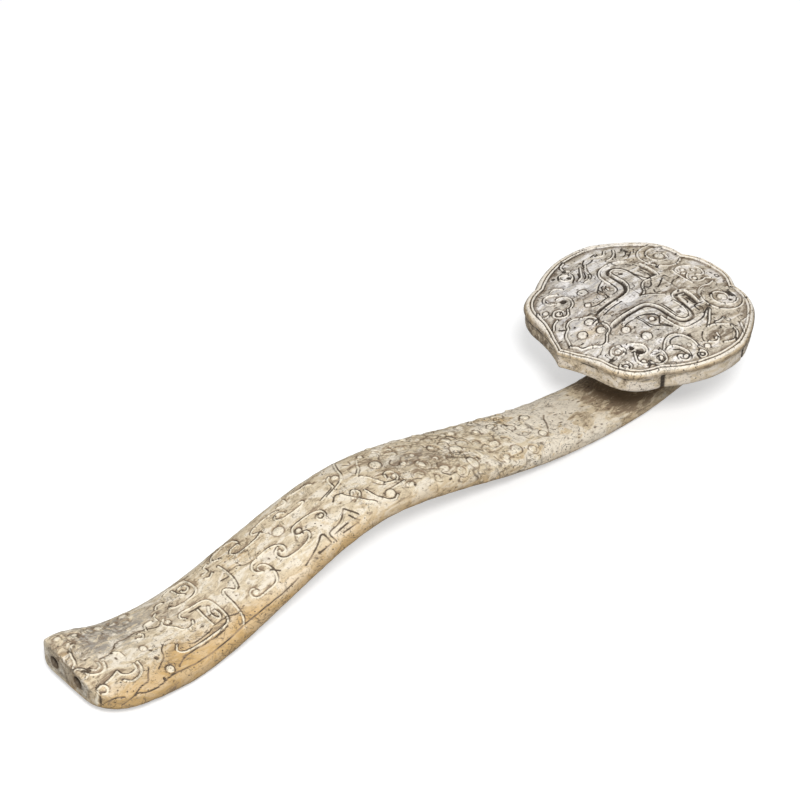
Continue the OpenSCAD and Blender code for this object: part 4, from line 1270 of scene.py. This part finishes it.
head_points = np.vstack([face_points, *wall_points, [(CUSP_X + HEAD_MIDDLE, 0, UNDER_Z)]])
a, b = index[:-1, :-1].ravel(), index[1:, :-1].ravel()
c, d = index[1:, 1:].ravel(), index[:-1, 1:].ravel()
head_faces = np.column_stack([a, b, c, d]).tolist()
following = np.roll(np.arange(rim_count), -1)
head_faces += np.column_stack(
    [border, first_wall + np.arange(rim_count), first_wall + following, border[following]]).tolist()
head_faces += strip_faces(len(WALL), rim_count, first_wall)[:, ::-1].tolist()
last = first_wall + (len(WALL) - 1) * rim_count
head_faces += np.column_stack(
    [last + following, last + np.arange(rim_count), np.full(rim_count, len(head_points) - 1)]).tolist()

# Where the plaque is grey, tan, dirty and stained, with painted shade on the lee side of its carving, then
# the same for its wall, whose far flank is painted darker as shade
sway = layered_noise(face_points, (5, 23, 18), (2.5, 8, 19))
face_grey = patch(1.3, (head_u - 42 + 0.5 * sway) / 44, (head_v - 12 + sway) / 48)
face_grey *= np.clip((from_edge - 4) / 3, 0, 1)
face_skin = np.clip(0.9 - from_edge / 7 + 0.08 * sway, 0, 1)
face_skin = np.maximum(face_skin, patch(0.8, (head_u - 22 + 0.4 * sway) / 13, (head_v + 2) / 11) * 0.8)
face_skin = np.maximum(face_skin, np.clip((head_u - 70 + sway * 1.6 - head_v * 0.3) / 70, 0, 0.2))
worn = np.clip(0.95 + layered_noise(face_points, (0.7, 6, 23), (0.3, 1.8, 24)), 0.25, 1)
worn *= 1 - 0.35 * np.clip((head_u - 84) / 16, 0, 1)
# Dark soil in the cuts and pits, with painted shadow where the cuts are darker on their side away from the
# lamp.
face_dirt_and_shade = np.maximum(np.maximum(mask.soil * inside, 0.65 * rim_groove) * worn, 0.75 * crevices * field)
face_dirt_and_shade = np.clip(face_dirt_and_shade + 2.2 * head_pits, 0, 1)
face_stain_and_shade = patch(1.0, (head_u - 84 + sway) / 34, (head_v + 12 + sway) / 40, 0.12 * sway) * 0.45
face_stain_and_shade = np.maximum(face_stain_and_shade, 0.8 * patch(1.0, (head_u - 56) / 9, (np.abs(head_v) - 19) / 9))
# Painted shade: brown on the lee side of the carving, away from the lamp.
face_stain_and_shade += 1.3 * mask.lee_shade * inside
wall_total = len(head_points) - len(face_points)
wall_skin = np.full(wall_total, 0.55)
# Painted shade: the far flank of the wall, which faces away from the lamp, is painted darker.
wall_stain_and_flank_shade = np.clip(0.1 + 1.4 * np.clip(rim_place[:, 1] / 30, 0, 1) * (rim_place[:, 0] < 45), 0, 1)
head_paint = jade("grey_jade", {
    "stone": (0.66, 0.60, 0.50, 1.0), "skin": (0.66, 0.52, 0.33, 1.0), "grey": (0.56, 0.54, 0.53, 1.0),
    "pale": (0.97, 0.94, 0.92, 1.0), "stain": (0.18, 0.13, 0.085, 1.0), "crest": (0.91, 0.85, 0.75, 1.0),
    "soil": (0.030, 0.021, 0.014, 1.0),
})
head = make_piece(
    "carved_head", head_points, head_faces, head_paint, "root",
    skin=np.concatenate([face_skin, wall_skin]), grey=np.concatenate([face_grey, np.zeros(wall_total)]),
    dirt=np.concatenate([face_dirt_and_shade, *wall_dirt, [UNDERSIDE_DIRT]]),
    relief=np.concatenate([head_relief, np.zeros(wall_total)]),
    stain=np.concatenate([face_stain_and_shade, np.tile(wall_stain_and_flank_shade, len(WALL)), [0.4]]),
)
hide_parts("head_plaque")


# Lacquer film: the bed of raw lacquer that sticks the plaque to its pad. It
# has dried dark and a little uneven, and only its edge shows from below.
def paint_solid(name, paint):
    """Gives a solid of the frame its material."""
    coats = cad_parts[name].data.materials
    coats.clear()
    coats.append(paint)


lacquer_paint, wire = material("dried_lacquer")
place = wire.add("ShaderNodeTexCoord", out=3)
ripple = place.noise(700, 3.0)
film_colour = ripple.between(0.35, 0.7).mixed((0.020, 0.011, 0.007, 1.0), (0.075, 0.040, 0.022, 1.0))
film_bump = wire.add("ShaderNodeBump", {}, {"Strength": 0.3, "Distance": 0.0001, "Height": ripple})
film = wire.add("ShaderNodeBsdfPrincipled", {}, {
    "Base Color": film_colour, "Roughness": ripple * 0.3 + 0.2, "Normal": film_bump})
finish_material(wire, film)
paint_solid("lacquer_film", lacquer_paint)


# Dowels: two turned bamboo pegs, upright in blind sockets of pad and plaque.
# Their long fibres run up them, light brown with darker strands.
bamboo_paint, wire = material("bamboo")
place = wire.add("ShaderNodeTexCoord", out=3)
fibre_place = wire.add("ShaderNodeMapping", {}, {"Vector": place, "Scale": (1.0, 1.0, 0.06)})
fibres = fibre_place.noise(2600, 3.0)
peg_colour = fibres.between(0.35, 0.65).mixed((0.50, 0.33, 0.15, 1.0), (0.30, 0.17, 0.07, 1.0))
peg_bump = wire.add("ShaderNodeBump", {}, {"Strength": 0.35, "Distance": 0.0001, "Height": fibres})
peg = wire.add("ShaderNodeBsdfPrincipled", {}, {
    "Base Color": peg_colour, "Roughness": fibres * 0.2 + 0.5, "Normal": peg_bump})
finish_material(wire, peg)
for dowel in ("dowel_far", "dowel_near"):
    paint_solid(dowel, bamboo_paint)
